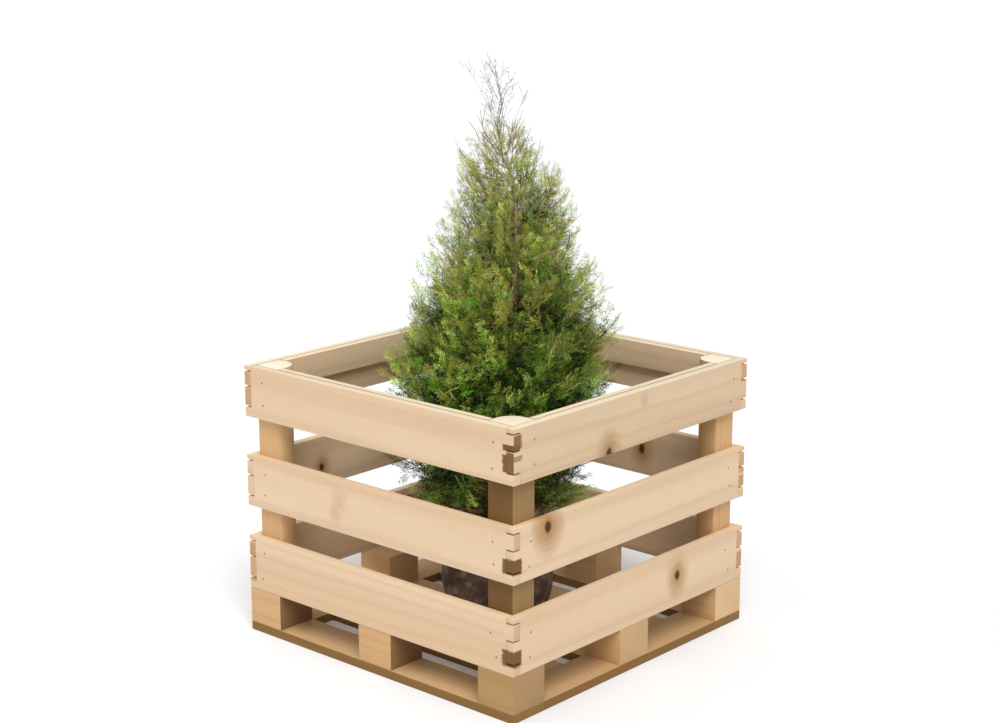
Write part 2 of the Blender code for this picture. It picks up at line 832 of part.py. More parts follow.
def build():
    clear_scene()
    wood = material("pine", (0.80, 0.60, 0.40), 0.62)
    cloth = material("sacking", (0.16, 0.12, 0.09), 0.95)
    bark = material("bark", (0.20, 0.12, 0.07), 0.85)
    leaf = material("thuja_green", (0.10, 0.20, 0.04), 0.60)
    whole = bpy.data.objects.new("potted_thuja", None)
    bpy.context.scene.collection.objects.link(whole)
    build_crate(wood, whole)
    build_root_ball(cloth, whole)
    build_trunk(bark, whole)
    build_crown(leaf, bark, whole)
    build_leader(bark, whole)


build()
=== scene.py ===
# Potted thuja: a young conifer on its cloth-wrapped root ball, in a slatted pallet crate.
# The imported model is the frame. All sizes are metres, +Z up, the ground at zero.

import math
import random

import bmesh
import bpy
import numpy as np
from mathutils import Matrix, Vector, noise


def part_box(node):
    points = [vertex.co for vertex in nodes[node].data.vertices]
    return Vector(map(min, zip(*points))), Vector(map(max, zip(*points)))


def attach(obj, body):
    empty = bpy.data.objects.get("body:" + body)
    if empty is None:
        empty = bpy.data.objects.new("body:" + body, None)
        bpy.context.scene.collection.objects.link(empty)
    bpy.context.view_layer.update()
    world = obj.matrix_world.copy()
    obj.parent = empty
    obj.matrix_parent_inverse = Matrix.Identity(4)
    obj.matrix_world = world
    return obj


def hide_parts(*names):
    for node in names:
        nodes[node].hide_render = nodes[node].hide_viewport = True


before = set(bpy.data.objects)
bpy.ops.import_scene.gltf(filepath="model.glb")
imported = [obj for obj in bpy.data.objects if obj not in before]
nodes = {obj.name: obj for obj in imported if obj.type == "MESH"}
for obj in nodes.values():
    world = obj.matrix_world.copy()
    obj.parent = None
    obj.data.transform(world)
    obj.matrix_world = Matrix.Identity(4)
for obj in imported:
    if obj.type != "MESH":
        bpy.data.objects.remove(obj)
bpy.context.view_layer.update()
print("frame loaded:", len(nodes), "nodes")


# Shared helpers

def addNode(tree, kind, sockets=None, **settings):
    made = tree.nodes.new(kind)
    for key, value in settings.items():
        setattr(made, key, value)
    for key, value in (sockets or {}).items():
        if isinstance(value, bpy.types.NodeSocket):
            tree.links.new(value, made.inputs[key])
        else:
            made.inputs[key].default_value = value
    return made


# A colour with its opacity, from three numbers or one. A socket stays as it is.
def opaque(colour):
    if isinstance(colour, float):
        return (colour, colour, colour, 1.0)
    return (*colour, 1.0) if isinstance(colour, tuple) and len(colour) == 3 else colour


def mixColour(tree, factor, first, second, blend="MIX"):
    sockets = {0: factor, 6: opaque(first), 7: opaque(second)}
    return addNode(tree, "ShaderNodeMix", sockets, data_type="RGBA", blend_type=blend).outputs[2]


def ramp(tree, factor, stops):
    made = addNode(tree, "ShaderNodeValToRGB", {"Fac": factor})
    band = made.color_ramp
    while len(band.elements) < len(stops):
        band.elements.new(0.5)
    for element, (place, colour) in zip(band.elements, stops):
        element.position = place
        element.color = opaque(colour)
    return made.outputs["Color"]


def maths(tree, operation, *values):
    return addNode(tree, "ShaderNodeMath", dict(enumerate(values)), operation=operation).outputs[0]


def vectorMaths(tree, operation, *values):
    made = addNode(tree, "ShaderNodeVectorMath", dict(enumerate(values)), operation=operation)
    return made.outputs["Value" if operation == "LENGTH" else "Vector"]


# Takes a value from one range to another.
def remap(tree, value, low, high, first, last, smooth=False):
    sockets = {"Value": value, 1: low, 2: high, 3: first, 4: last}
    curve = "SMOOTHSTEP" if smooth else "LINEAR"
    return addNode(tree, "ShaderNodeMapRange", sockets, interpolation_type=curve).outputs[0]


def speckle(tree, place, scale, detail, roughness=0.5):
    sockets = {"Vector": place, "Scale": scale, "Detail": detail, "Roughness": roughness}
    return addNode(tree, "ShaderNodeTexNoise", sockets).outputs["Fac"]


# Waves that stand a pitch apart. At scale 1 the node's own stand 0.314 m apart.
def waves(tree, place, pitch, sockets, **settings):
    sockets = {"Vector": place, "Scale": 0.314 / pitch, **sockets}
    return addNode(tree, "ShaderNodeTexWave", sockets, **settings).outputs["Fac"]


# Where a point lies in its piece, which is also its place in the scene.
def ownPlace(tree):
    return addNode(tree, "ShaderNodeTexCoord").outputs["Object"]


def attribute(tree, name, output):
    return addNode(tree, "ShaderNodeAttribute", attribute_name=name).outputs[output]


def newMaterial(name, roughness, gloss=None):
    made = bpy.data.materials.new(name)
    made.use_nodes = True
    shader = made.node_tree.nodes["Principled BSDF"]
    shader.inputs["Roughness"].default_value = roughness
    if gloss is not None:
        shader.inputs["Specular IOR Level"].default_value = gloss
    return made, made.node_tree, shader


# Sets the colour, and the relief from a height field.
def finishMaterial(tree, shader, colour, height, strength, depth):
    if isinstance(colour, bpy.types.NodeSocket):
        tree.links.new(colour, shader.inputs["Base Color"])
    else:
        shader.inputs["Base Color"].default_value = opaque(colour)
    bump = addNode(tree, "ShaderNodeBump", {"Height": height, "Strength": strength, "Distance": depth})
    tree.links.new(bump.outputs["Normal"], shader.inputs["Normal"])


def pick(thing):
    bpy.ops.object.select_all(action="DESELECT")
    thing.select_set(True)
    bpy.context.view_layer.objects.active = thing


def applyModifier(thing, kind, **settings):
    pick(thing)
    added = thing.modifiers.new(kind.lower(), kind)
    for key, value in settings.items():
        setattr(added, key, value)
    bpy.ops.object.modifier_apply(modifier=added.name)


def joinPieces(name, pieces):
    bpy.ops.object.select_all(action="DESELECT")
    for piece in pieces:
        piece.select_set(True)
    bpy.context.view_layer.objects.active = pieces[0]
    bpy.ops.object.join()
    pieces[0].name = name
    return pieces[0]


# Every piece rides on the root, and takes the place of the nodes it replaces.
def finishPiece(piece, replaced):
    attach(piece, "root")
    if replaced:
        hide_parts(*replaced)


# A mesh from arrays: its points and its faces, given as arrays of three or four corners.
def meshFromArrays(name, points, faceSets, finishes, finishIndex=None, smooth=True):
    mesh = bpy.data.meshes.new(name)
    corners = np.concatenate([faces.reshape(-1) for faces in faceSets]).astype(np.int32)
    totals = np.concatenate([np.full(len(faces), faces.shape[1]) for faces in faceSets])
    starts = np.concatenate([[0], np.cumsum(totals)[:-1]])
    mesh.vertices.add(len(points))
    mesh.vertices.foreach_set("co", points.astype(np.float32).reshape(-1))
    mesh.loops.add(len(corners))
    mesh.loops.foreach_set("vertex_index", corners)
    mesh.polygons.add(len(totals))
    mesh.polygons.foreach_set("loop_start", starts.astype(np.int32))
    mesh.polygons.foreach_set("loop_total", totals.astype(np.int32))
    for finish in finishes:
        mesh.materials.append(finish)
    if finishIndex is not None:
        mesh.polygons.foreach_set("material_index", finishIndex.astype(np.int32))
    mesh.polygons.foreach_set("use_smooth", np.full(len(totals), smooth))
    mesh.update(calc_edges=True)
    mesh.validate()
    made = bpy.data.objects.new(name, mesh)
    bpy.context.scene.collection.objects.link(made)
    return made


# A point at a reach and a turn from the upright axis.
def ringPoint(reach, turn, height):
    return (reach * math.cos(turn), reach * math.sin(turn), height)


# The quads between rings of points that lie one after the other.
def ringQuads(rings, around):
    row = np.arange(rings - 1)[:, None] * around
    side = np.arange(around)[None, :]
    after = (side + 1) % around
    corners = [row + side, row + after, row + around + after, row + around + side]
    return np.stack(corners, axis=2).reshape(-1, 4)


# Round tubes, each given as a path and its radii, open at both ends, as one piece.
def tubePiece(name, limbs, around, finish):
    points = []
    quads = []
    start = 0
    turns = 2 * math.pi * np.arange(around)[:, None] / around
    for path, radii in limbs:
        ahead = np.gradient(path, axis=0)
        ahead /= np.linalg.norm(ahead, axis=1, keepdims=True)
        spare = (0.37, 0.71, 0.11) if abs(ahead[0, 2]) > 0.8 else (0.05, 0.03, 1.0)
        across = np.cross(ahead, spare)
        across /= np.linalg.norm(across, axis=1, keepdims=True)
        second = np.cross(ahead, across)
        ring = across[:, None] * np.cos(turns) + second[:, None] * np.sin(turns)
        points.append((path[:, None] + ring * radii[:, None, None]).reshape(-1, 3))
        quads.append(ringQuads(len(path), around) + start)
        start += len(path) * around
    return meshFromArrays(name, np.concatenate(points), [np.concatenate(quads)], [finish])


# Camera, light and floor

view = {
    "place": (2.860, -3.204, 1.681),
    "tilt": 76.195,
    "heading": 41.678,
    "lens": 70.95,
    "sensor": 36.0,
    "floorSize": 120.0,
    "floorColour": (0.92, 0.93, 0.95, 1.0),
    "floorRoughness": 0.9,
    "white": (1.0, 1.0, 1.0, 1.0),
    "backdropStrength": 1.05,  # what the camera sees behind the plant
    "skyStrength": 0.60,  # what lights it
}


def makeView():
    bpy.ops.object.camera_add(
        location=view["place"],
        rotation=(math.radians(view["tilt"]), 0.0, math.radians(view["heading"])),
    )
    camera = bpy.context.object
    camera.name = "photo_camera"
    camera.data.lens = view["lens"]
    camera.data.sensor_width = view["sensor"]
    bpy.context.scene.camera = camera

    bpy.ops.mesh.primitive_plane_add(size=view["floorSize"])
    floor = bpy.context.object
    floor.name = "studio_floor"
    paint, _, shader = newMaterial("floor_white", view["floorRoughness"])
    shader.inputs["Base Color"].default_value = view["floorColour"]
    floor.data.materials.append(paint)

    world = bpy.data.worlds.new("studio")
    world.use_nodes = True
    tree = world.node_tree
    sky = tree.nodes["Background"]
    sky.inputs["Color"].default_value = view["white"]
    sky.inputs["Strength"].default_value = view["skyStrength"]
    backdrop = addNode(
        tree, "ShaderNodeBackground", {"Color": view["white"], "Strength": view["backdropStrength"]}
    )
    sight = addNode(tree, "ShaderNodeLightPath").outputs["Is Camera Ray"]
    choice = addNode(tree, "ShaderNodeMixShader", {0: sight, 1: sky.outputs[0], 2: backdrop.outputs[0]})
    tree.links.new(choice.outputs["Shader"], tree.nodes["World Output"].inputs["Surface"])
    bpy.context.scene.world = world
    bpy.context.scene.view_settings.view_transform = "Standard"


lights = {
    "aim": (0.0, 0.0, 0.5),
    "sunPlace": (2.4, -2.0, 4.4),
    "sunStrength": 2.1,
    "sunSoftness": 34.0,
    "fillPlace": (-3.4, -2.4, 2.2),
    "fillSize": 2.6,
    "fillPower": 30.0,
}


def addLamp(name, kind, place):
    bpy.ops.object.light_add(type=kind, location=place)
    lamp = bpy.context.object
    lamp.name = name
    lamp.rotation_euler = (Vector(lights["aim"]) - Vector(place)).to_track_quat("-Z", "Y").to_euler()
    return lamp.data


def makeLights():
    sun = addLamp("sun", "SUN", lights["sunPlace"])
    sun.energy = lights["sunStrength"]
    sun.angle = math.radians(lights["sunSoftness"])
    fill = addLamp("fill", "AREA", lights["fillPlace"])
    fill.size = lights["fillSize"]
    fill.energy = lights["fillPower"]


makeView()
makeLights()
print("camera, floor and lights made")


# Timber of the crate

halfCrate = 0.400
walls = ("front", "back", "left", "right")
rowNames = ("lower", "middle", "upper")
timber = {
    "bevel": 0.0016,
    "pale": (0.712, 0.537, 0.366),
    "warm": (0.652, 0.462, 0.296),
    "lateWood": (0.520, 0.335, 0.185),
    "endGrainAndPaintedShade": (0.200, 0.094, 0.024),
    "endShades": (0.66, 1.22),  # the darkest and the palest of the end grain
    "knotHeart": (0.060, 0.022, 0.006),
    "knotRing": (0.370, 0.180, 0.046),
    "knotSquash": 0.72,  # below 1 a knot is taller than long
    "knotThrough": 0.02,  # small, so that a knot reaches right through its board
    "knotPull": 0.011,  # how far a knot pushes the rings of the grain aside
    "nearGapWoodInShade": (0.140, 0.062, 0.011),
    "farGapWoodInShade": (0.440, 0.230, 0.088),
    "ringPitch": 0.0075,
    "pithOff": (0.05, 0.11),  # how far a board lies from the pith of its log
    "drawnOut": 0.055,  # the pattern along the grain, as a share of that across it
    "lateShare": 0.26,
    "fibreShare": 0.16,
    "figureShare": 0.55,
    "haloShare": 0.88,
    "roughness": 0.62,
    "sheen": 0.22,
}
# Knots: the wall, the place along it, the height above the ground, and half the knot's length.
# Figures are soft brown patches in the grain.
wallKnots = {
    "front": (),
    "right": ((-0.098, 0.512, 0.0090), (-0.294, 0.400, 0.0110), (0.152, 0.174, 0.0090)),
    "back": ((0.120, 0.362, 0.0090), (-0.210, 0.160, 0.0075), (-0.060, 0.600, 0.0060)),
    "left": ((0.060, 0.560, 0.0080), (-0.190, 0.345, 0.0070), (0.240, 0.185, 0.0090)),
}
wallFigures = {
    "front": ((-0.100, 0.372, 0.030), (-0.112, 0.340, 0.026), (0.228, 0.527, 0.0045)),
    "right": (
        (0.020, 0.600, 0.016), (-0.322, 0.392, 0.028), (-0.292, 0.394, 0.034), (-0.262, 0.394, 0.028),
    ),
    "back": ((0.210, 0.560, 0.026),),
    "left": ((0.120, 0.380, 0.028),),
}
# How ragged knots and figures are: the scale and detail of the noise, and its share.
knotBorder = (45.0, 4.0, 0.8)
figureBorder = (26.0, 3.0, 1.3)

# Dark brown patches at the ends of the fingers in the comb joints, where the recessed post
# shows in the gaps: partly its darker wood, partly painted shade. The wall, which end of it,
# the row, where the middle of the patch lies in the board's height from its upper edge, its
# half height as a share of that, and how dark it is.
jointGapShades = {
    "front": (
        (1, "upper", 0.345, 0.060, 0.98), (1, "upper", 0.63, 0.17, 0.95),
        (1, "middle", 0.69, 0.14, 0.94), (1, "lower", 0.70, 0.15, 0.93), (-1, "upper", 0.28, 0.18, 0.65),
        (-1, "middle", 0.72, 0.14, 0.32), (-1, "middle", 0.30, 0.10, 0.22),
        (-1, "lower", 0.30, 0.18, 0.85), (-1, "lower", 0.705, 0.165, 0.80),
    ),
    "right": (
        (-1, "upper", 0.24, 0.13, 0.65), (-1, "upper", 0.53, 0.05, 0.60),
        (-1, "middle", 0.69, 0.15, 0.96), (-1, "lower", 0.70, 0.15, 0.95), (1, "upper", 0.26, 0.19, 0.80),
        (1, "middle", 0.36, 0.17, 0.70), (1, "middle", 0.72, 0.17, 0.80), (1, "lower", 0.24, 0.14, 0.65),
        (1, "lower", 0.66, 0.19, 0.85),
    ),
    "back": (
        (-1, "upper", 0.60, 0.19, 0.60), (1, "middle", 0.60, 0.19, 0.60), (-1, "lower", 0.60, 0.19, 0.60),
    ),
    "left": ((-1, "upper", 0.60, 0.19, 0.60), (1, "lower", 0.60, 0.19, 0.60)),
}
nearGapLengths = {("front", 1): 0.030, ("right", -1): 0.025}  # their length, at the near corner
farGapLength = 0.020
gapPastEnd = 0.006  # so that the end of the board is darkened too
gapSpread = 0.007
gapDepth = 0.03

# Tones, by which the colour of the timber is multiplied. Rim, postTop and edge are painted highlights on
# top faces, lighter because the light falls from above.
plain = (1.0, 1.0, 1.0)
tones = {
    "rim": (1.22, 1.40, 1.55),
    "postTop": (1.34, 1.62, 1.95),
    "edge": (1.14, 1.16, 1.14),
    "seam": (0.52, 0.40, 0.26),
    "rightUpperBoard": (0.91, 0.92, 0.90),
    "boardEnd": (0.98, 0.94, 0.89),
    "farEnd": (0.82, 0.69, 0.54),
}
seamDepth = 0.003
rimDepth = 0.004
squarely = 0.8  # how far a face has to look one way
# Which share of a finger joint's height can be dark, by the axis of the grain, and how brown
# the fingers at the near corner are by their row.
markedShares = {0: (0.10, 0.40), 1: (0.40, 0.80)}
frontEnds = {"upper": 0.92, "middle": 0.25, "lower": 0.25, "unmarked": 0.08}
rightEnds = {"upper": 0.97, "unmarked": 0.10}
# The other faces: how the node's name starts, which way the face looks, how brown its end
# grain is, and its tone. The first line that fits a face counts. The tones are mostly painted
# light and shade. Posts are darker, partly from their darker wood and partly from painted shade
# under the boards. The near post's faces are darkest, and the inner face of the far left post is
# painted lighter. Blocks and base boards are painted darker on their sides than on top, and the
# near block is darkest.
faceRules = (
    ("post_front_right", "rather right", 0.0, (0.45, 0.37, 0.22)),
    ("post_front_right", "any", 0.0, (0.24, 0.165, 0.062)),
    ("post_front_left", "rather right", 0.0, (1.25, 1.10, 0.86)),
    ("post_", "any", 0.0, (0.88, 0.72, 0.52)),
    ("block_", "up or down", 0.0, (0.9, 0.80, 0.68)),
    ("block_front_right", "front", 0.0, (0.58, 0.48, 0.29)),
    ("block_front_right", "any", 0.0, (0.53, 0.44, 0.31)),
    # The right faces of the front blocks are painted near full brown: partly their end grain, partly a
    # painted shadow.
    ("block_front_", "right", 0.88, plain),
    ("block_front_left", "any", 0.0, (0.81, 0.67, 0.48)),
    ("block_back_right", "right", 0.0, (0.93, 0.86, 0.70)),
    ("block_", "front or back", 0.0, (0.84, 0.71, 0.51)),
    ("block_", "any", 0.0, (0.74, 0.66, 0.50)),
    (("base_", "floor_"), "up or down", 0.0, (0.86, 0.75, 0.57)),
    (("base_", "floor_"), "any", 0.0, (0.33, 0.245, 0.105)),
    ("lath_", "any", 0.0, plain),
)


# How far a point lies from the nearest knot or figure, in units of its size, as seen square to
# the wall and with a ragged border.
def markField(tree, place, marks, across, border):
    squash = [1.0, 1.0, timber["knotSquash"]]
    squash[across] = timber["knotThrough"]
    nearest = None
    for centre, size in marks:
        moved = vectorMaths(tree, "SUBTRACT", place, centre)
        scaled = vectorMaths(tree, "MULTIPLY", moved, tuple(value / size for value in squash))
        field = vectorMaths(tree, "LENGTH", scaled)
        nearest = field if nearest is None else maths(tree, "MINIMUM", nearest, field)
    scale, detail, raggedness = border
    return maths(tree, "MULTIPLY_ADD", speckle(tree, place, scale, detail), raggedness, nearest)


# How far a point lies outside a block-shaped patch of painted shade: one at its sides.
def patchField(tree, place, centre, halfSizes):
    moved = vectorMaths(tree, "SUBTRACT", place, centre)
    scaled = vectorMaths(tree, "MULTIPLY", moved, tuple(1.0 / size for size in halfSizes))
    apart = vectorMaths(tree, "ABSOLUTE", scaled)
    x, y, z = addNode(tree, "ShaderNodeSeparateXYZ", {0: apart}).outputs
    return maths(tree, "MAXIMUM", maths(tree, "MAXIMUM", x, y), z)


# Pine whose grain runs along one axis. Each board carries its own shift of the pattern.
def makePine(name, grain, knots=(), figures=(), gapShades=()):
    finish, tree, shader = newMaterial(name, timber["roughness"], timber["sheen"])
    place = ownPlace(tree)
    shifted = vectorMaths(tree, "ADD", place, attribute(tree, "boardShift", "Vector"))
    if knots:
        knot = markField(tree, place, knots, 1 - grain, knotBorder)
        pull = remap(tree, knot, 0.5, 5.0, timber["knotPull"], 0.0, smooth=True)
        pushed = addNode(tree, "ShaderNodeCombineXYZ", {"XYZ"[grain - 1]: pull}).outputs[0]
        shifted = vectorMaths(tree, "ADD", shifted, pushed)

    stretch = [1.0, 1.0, 1.0]
    stretch[grain] = timber["drawnOut"]
    drawn = vectorMaths(tree, "MULTIPLY", shifted, tuple(stretch))
    wobble = {"Distortion": 5.0, "Detail": 2.0, "Detail Scale": 0.35, "Detail Roughness": 0.55}
    rings = waves(
        tree, drawn, timber["ringPitch"], wobble, wave_type="RINGS", rings_direction="XYZ"[grain]
    )
    lateWood = ramp(tree, rings, ((0.30, 0.0), (0.80, 0.35), (0.97, 1.0)))
    broad = speckle(tree, drawn, 7.0, 2.0)
    fibre = speckle(tree, drawn, 420.0, 3.0, 0.6)
    warmth = ramp(tree, broad, ((0.35, 0.0), (0.70, 1.0)))
    colour = mixColour(tree, warmth, timber["pale"], timber["warm"])
    shares = [
        maths(tree, "MULTIPLY", lateWood, timber["lateShare"]),
        remap(tree, fibre, 0.45, 0.75, 0.0, timber["fibreShare"]),
    ]
    if figures:
        figure = markField(tree, place, figures, 1 - grain, figureBorder)
        shares.append(remap(tree, figure, 0.75, 1.75, timber["figureShare"], 0.0, smooth=True))
    for share in shares:
        colour = mixColour(tree, share, colour, timber["lateWood"])

    if knots:
        outward = remap(tree, knot, 0.0, 5.5, 0.0, 1.0)
        halo = ramp(tree, outward, ((0.22, 1.0), (0.32, 0.82), (0.58, 0.45), (1.0, 0.0)))
        haloShare = maths(tree, "MULTIPLY", halo, timber["haloShare"])
        colour = mixColour(tree, haloShare, colour, timber["knotRing"])
        turns = maths(tree, "SINE", maths(tree, "MULTIPLY", knot, 9.0))
        lines = maths(tree, "MULTIPLY", remap(tree, turns, 0.1, 1.0, 0.0, 0.13), halo)
        heart = remap(tree, knot, 1.05, 1.45, 0.97, 0.0)
        for share in (lines, heart):
            colour = mixColour(tree, share, colour, timber["knotHeart"])
    # Painted shade in the gaps of the comb joints, where the recessed post shows, partly its darker wood.
    if gapShades:
        ragged = speckle(tree, drawn, 160.0, 3.0)
    for centre, halfSizes, strength, tint in gapShades:
        field = maths(tree, "MULTIPLY_ADD", ragged, 0.5, patchField(tree, place, centre, halfSizes))
        colour = mixColour(tree, remap(tree, field, 1.10, 1.32, strength, 0.0), colour, timber[tint])

    # End grain, and on the right faces of the front blocks a painted shadow in the same brown.
    ends = [tuple(value * shade for value in timber["endGrainAndPaintedShade"]) for shade in timber["endShades"]]
    colour = mixColour(tree, attribute(tree, "endGrainAndPaintedShade", "Fac"), colour, mixColour(tree, broad, *ends))
    # The tone of each face, which holds painted highlights on top faces and painted shade on sides and
    # recessed parts.
    colour = mixColour(tree, 1.0, colour, attribute(tree, "boardToneAndPaintedLight", "Color"), "MULTIPLY")
    finishMaterial(tree, shader, colour, fibre, 0.22, 0.0006)
    return finish


# A place on the outer face of a wall.
def onWall(wall, along, height):
    out = -halfCrate if wall in ("front", "left") else halfCrate
    return (along, out, height) if wall in ("front", "back") else (out, along, height)


# The patches of painted shade at the comb joints of one wall as centre in space, half sizes, strength and
# tint.
def wallGapShades(wall):
    found = []
    for end, row, share, half, strength in jointGapShades[wall]:
        low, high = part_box(f"wall_{wall}_{row}")
        tall = high.z - low.z
        near = (wall, end) in nearGapLengths
        length = nearGapLengths[wall, end] if near else farGapLength
        centre = onWall(wall, end * (halfCrate - length / 2 + gapPastEnd), high.z - share * tall)
        flat = (length / 2 + gapSpread, gapDepth)
        if wall in ("left", "right"):
            flat = flat[::-1]
        found.append((centre, (*flat, half * tall), strength, "nearGapWoodInShade" if near else "farGapWoodInShade"))
    return found


# Whether a face looks the way that a rule names.
def facesWay(normal, way):
    return {
        "any": True,
        "rather right": normal.x > 0.3,
        "right": normal.x > squarely,
        "front": -normal.y > squarely,
        "front or back": abs(normal.y) > squarely,
        "up or down": abs(normal.z) > squarely,
    }[way]


# How brown the end grain of a face is, and the tone of a face, which holds painted highlights
# and painted shade. In the comb joints only some fingers are dark.
def faceLooks(node, grain, face):
    normal = face.normal
    height = face.center.z
    kind = node.split("_")[0]
    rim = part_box("wall_front_upper")[1].z
    if height > rim - seamDepth and 0.2 < normal.z < 0.97:  # the brown seam between wall and lath
        inward = normal.x * face.center.x + normal.y * face.center.y < 0
        if (kind, inward) in (("wall", True), ("lath", False)):
            return 0.0, tones["seam"]
    # Top faces get a painted highlight, strongest on the rim and the post tops.
    if kind in ("wall", "lath", "post") and normal.z > squarely:
        top = "postTop" if kind == "post" else "rim"
        return 0.0, tones[top if height > rim - rimDepth else "edge"]
    if kind == "wall":
        return wallLooks(node, grain, normal, height)
    for start, way, brown, tone in faceRules:
        if node.startswith(start) and facesWay(normal, way):
            return brown, tone


# The same for the faces of a wall board. Those across its grain are the ends of its fingers.
def wallLooks(node, grain, normal, height):
    if abs(normal[grain]) < squarely:
        return 0.0, (tones["rightUpperBoard"] if node == "wall_right_upper" else plain)
    low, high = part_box(node)
    share = (high.z - height) / (high.z - low.z)
    start, end = markedShares[grain]
    marked = start < share < end
    row = node.split("_")[2] if marked else "unmarked"
    if node.startswith("wall_right_") and normal.y < 0:
        return rightEnds.get(row, rightEnds["unmarked"]), plain
    if node.startswith("wall_front_") and normal.x > 0:
        return frontEnds[row], plain
    far = marked and node not in ("wall_left_upper", "wall_left_middle")
    return 0.03, tones["farEnd" if far else "boardEnd"]


# A board, post or block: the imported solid's own shape, with its sawn edges eased.
def sawnPiece(node, finish, grain, shift):
    made = bpy.data.objects.new(node + "_timber", nodes[node].data.copy())
    bpy.context.scene.collection.objects.link(made)
    made.data.materials.clear()
    made.data.materials.append(finish)
    pick(made)
    bpy.ops.mesh.customdata_custom_splitnormals_clear()
    bpy.ops.object.mode_set(mode="EDIT")
    bpy.ops.mesh.select_all(action="SELECT")
    bpy.ops.mesh.remove_doubles(threshold=0.00002)
    bpy.ops.mesh.dissolve_limited(angle_limit=math.radians(1.0))
    bpy.ops.object.mode_set(mode="OBJECT")
    applyModifier(
        made, "BEVEL", width=timber["bevel"], segments=2, limit_method="ANGLE",
        angle_limit=math.radians(50), profile=0.6,
    )
    mesh = made.data
    faces = [(face.loop_total, *faceLooks(node, grain, face)) for face in mesh.polygons]
    boardShift = mesh.attributes.new("boardShift", "FLOAT_VECTOR", "POINT")
    boardShift.data.foreach_set("vector", list(shift) * len(mesh.vertices))
    endGrainAndPaintedShade = mesh.attributes.new("endGrainAndPaintedShade", "FLOAT", "FACE")
    endGrainAndPaintedShade.data.foreach_set("value", [brown for _, brown, _ in faces])
    boardToneAndPaintedLight = mesh.attributes.new("boardToneAndPaintedLight", "FLOAT_COLOR", "CORNER")
    corners = []
    for count, _, tone in faces:
        corners += opaque(tone) * count
    boardToneAndPaintedLight.data.foreach_set("color", corners)
    pick(made)
    bpy.ops.object.shade_smooth_by_angle(angle=math.radians(35))
    return made


# The nodes of one kind, each with the pine whose grain runs its way.
def boards(kind, sides):
    return [(f"{kind}_{side}", "along_y" if side in ("left", "right") else "along_x") for side in sides]


def makeCrate():
    rng = random.Random(11)
    # Each finish with the axis of its grain.
    finishes = {
        name: (makePine("pine_" + name, grain), grain)
        for name, grain in (("upright", 2), ("along_x", 0), ("along_y", 1))
    }
    for wall in wallKnots:
        grain = 0 if wall in ("front", "back") else 1
        knots, figures = (
            [(onWall(wall, along, height), size) for along, height, size in marks[wall]]
            for marks in (wallKnots, wallFigures)
        )
        finishes[wall] = (makePine("pine_wall_" + wall, grain, knots, figures, wallGapShades(wall)), grain)
    groups = {"crate_wall_" + wall: [(f"wall_{wall}_{row}", wall) for row in rowNames] for wall in walls}
    groups["crate_posts"] = [(node, "upright") for node in sorted(nodes) if node.startswith("post_")]
    groups["crate_blocks"] = [(node, "along_x") for node in sorted(nodes) if node.startswith("block_")]
    groups["crate_base"] = boards("base", walls) + boards("floor", ("front", "middle", "back"))
    groups["crate_laths"] = boards("lath", walls)
    for name, members in groups.items():
        pieces = []
        for node, finish in members:
            shift = [rng.uniform(*timber["pithOff"]) * rng.choice((-1, 1)) for _ in range(3)]
            shift[2] -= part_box(node)[0].z
            pieces.append(sawnPiece(node, *finishes[finish], shift))
        finishPiece(joinPieces(name, pieces), [node for node, _ in members])
    print("crate made")


makeCrate()


# Nail heads, two at each end of a board

nails = {
    "radius": 0.0024,
    "proud": 0.0003,
    "sink": 0.0012,
    "stray": 0.013,
    "fromEnd": 0.055,
    "shares": (0.27, 0.70),  # of the board's height
    "roughness": 0.42,
    "metallic": 0.35,
    "rust": ((0.35, (0.150, 0.085, 0.045)), (0.65, (0.330, 0.230, 0.150))),
}


# One nail head with a raised middle, to be copied.
def nailPattern():
    steel, tree, shader = newMaterial("nail_steel", nails["roughness"])
    shader.inputs["Metallic"].default_value = nails["metallic"]
    tone = ramp(tree, speckle(tree, ownPlace(tree), 900.0, 3.0), nails["rust"])
    tree.links.new(tone, shader.inputs["Base Color"])
    bpy.ops.object.select_all(action="DESELECT")
    bpy.ops.mesh.primitive_cylinder_add(vertices=10, radius=nails["radius"], depth=nails["sink"])
    pattern = bpy.context.object
    bpy.ops.object.mode_set(mode="EDIT")
    shape = bmesh.from_edit_mesh(pattern.data)
    for face in shape.faces:
        face.select = face.normal.z > 0.9
    bpy.ops.mesh.inset(thickness=nails["radius"] * 0.28)
    bpy.ops.transform.translate(value=(0, 0, nails["proud"] * 0.5))
    bpy.ops.object.mode_set(mode="OBJECT")
    pattern.data.materials.append(steel)
    return pattern


def makeNails():
    rng = random.Random(23)

    def stray():
        return rng.uniform(-0.5, 0.5) * nails["stray"]

    pattern = nailPattern()
    spots = []
    for row in rowNames:
        low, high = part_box("wall_front_" + row)
        for share in nails["shares"]:
            height = low.z + (high.z - low.z) * share
            for end in (-1, 1):
                spots.append((end * (halfCrate - nails["fromEnd"] + stray()), height))
    copies = []
    for turn in (0.0, 0.5 * math.pi, math.pi, 1.5 * math.pi):  # front, right, back and left
        outward = Vector((math.sin(turn), -math.cos(turn), 0.0))
        side = Vector((math.cos(turn), math.sin(turn), 0.0))
        for along, height in spots:
            copy = pattern.copy()
            copy.data = pattern.data.copy()
            bpy.context.scene.collection.objects.link(copy)
            copy.rotation_euler = outward.to_track_quat("Z", "Y").to_euler()
            copy.location = (
                side * (along + stray())
                + outward * (halfCrate - nails["sink"] / 2 + nails["proud"] * 0.4)
                + Vector((0, 0, height + stray()))
            )
            copies.append(copy)
    bpy.data.objects.remove(pattern)
    piece = joinPieces("nail_heads", copies)
    pick(piece)
    bpy.ops.object.transform_apply(location=True, rotation=True, scale=True)
    finishPiece(piece, [])
    print("nails made:", len(copies))


makeNails()


# Root ball in its cloth

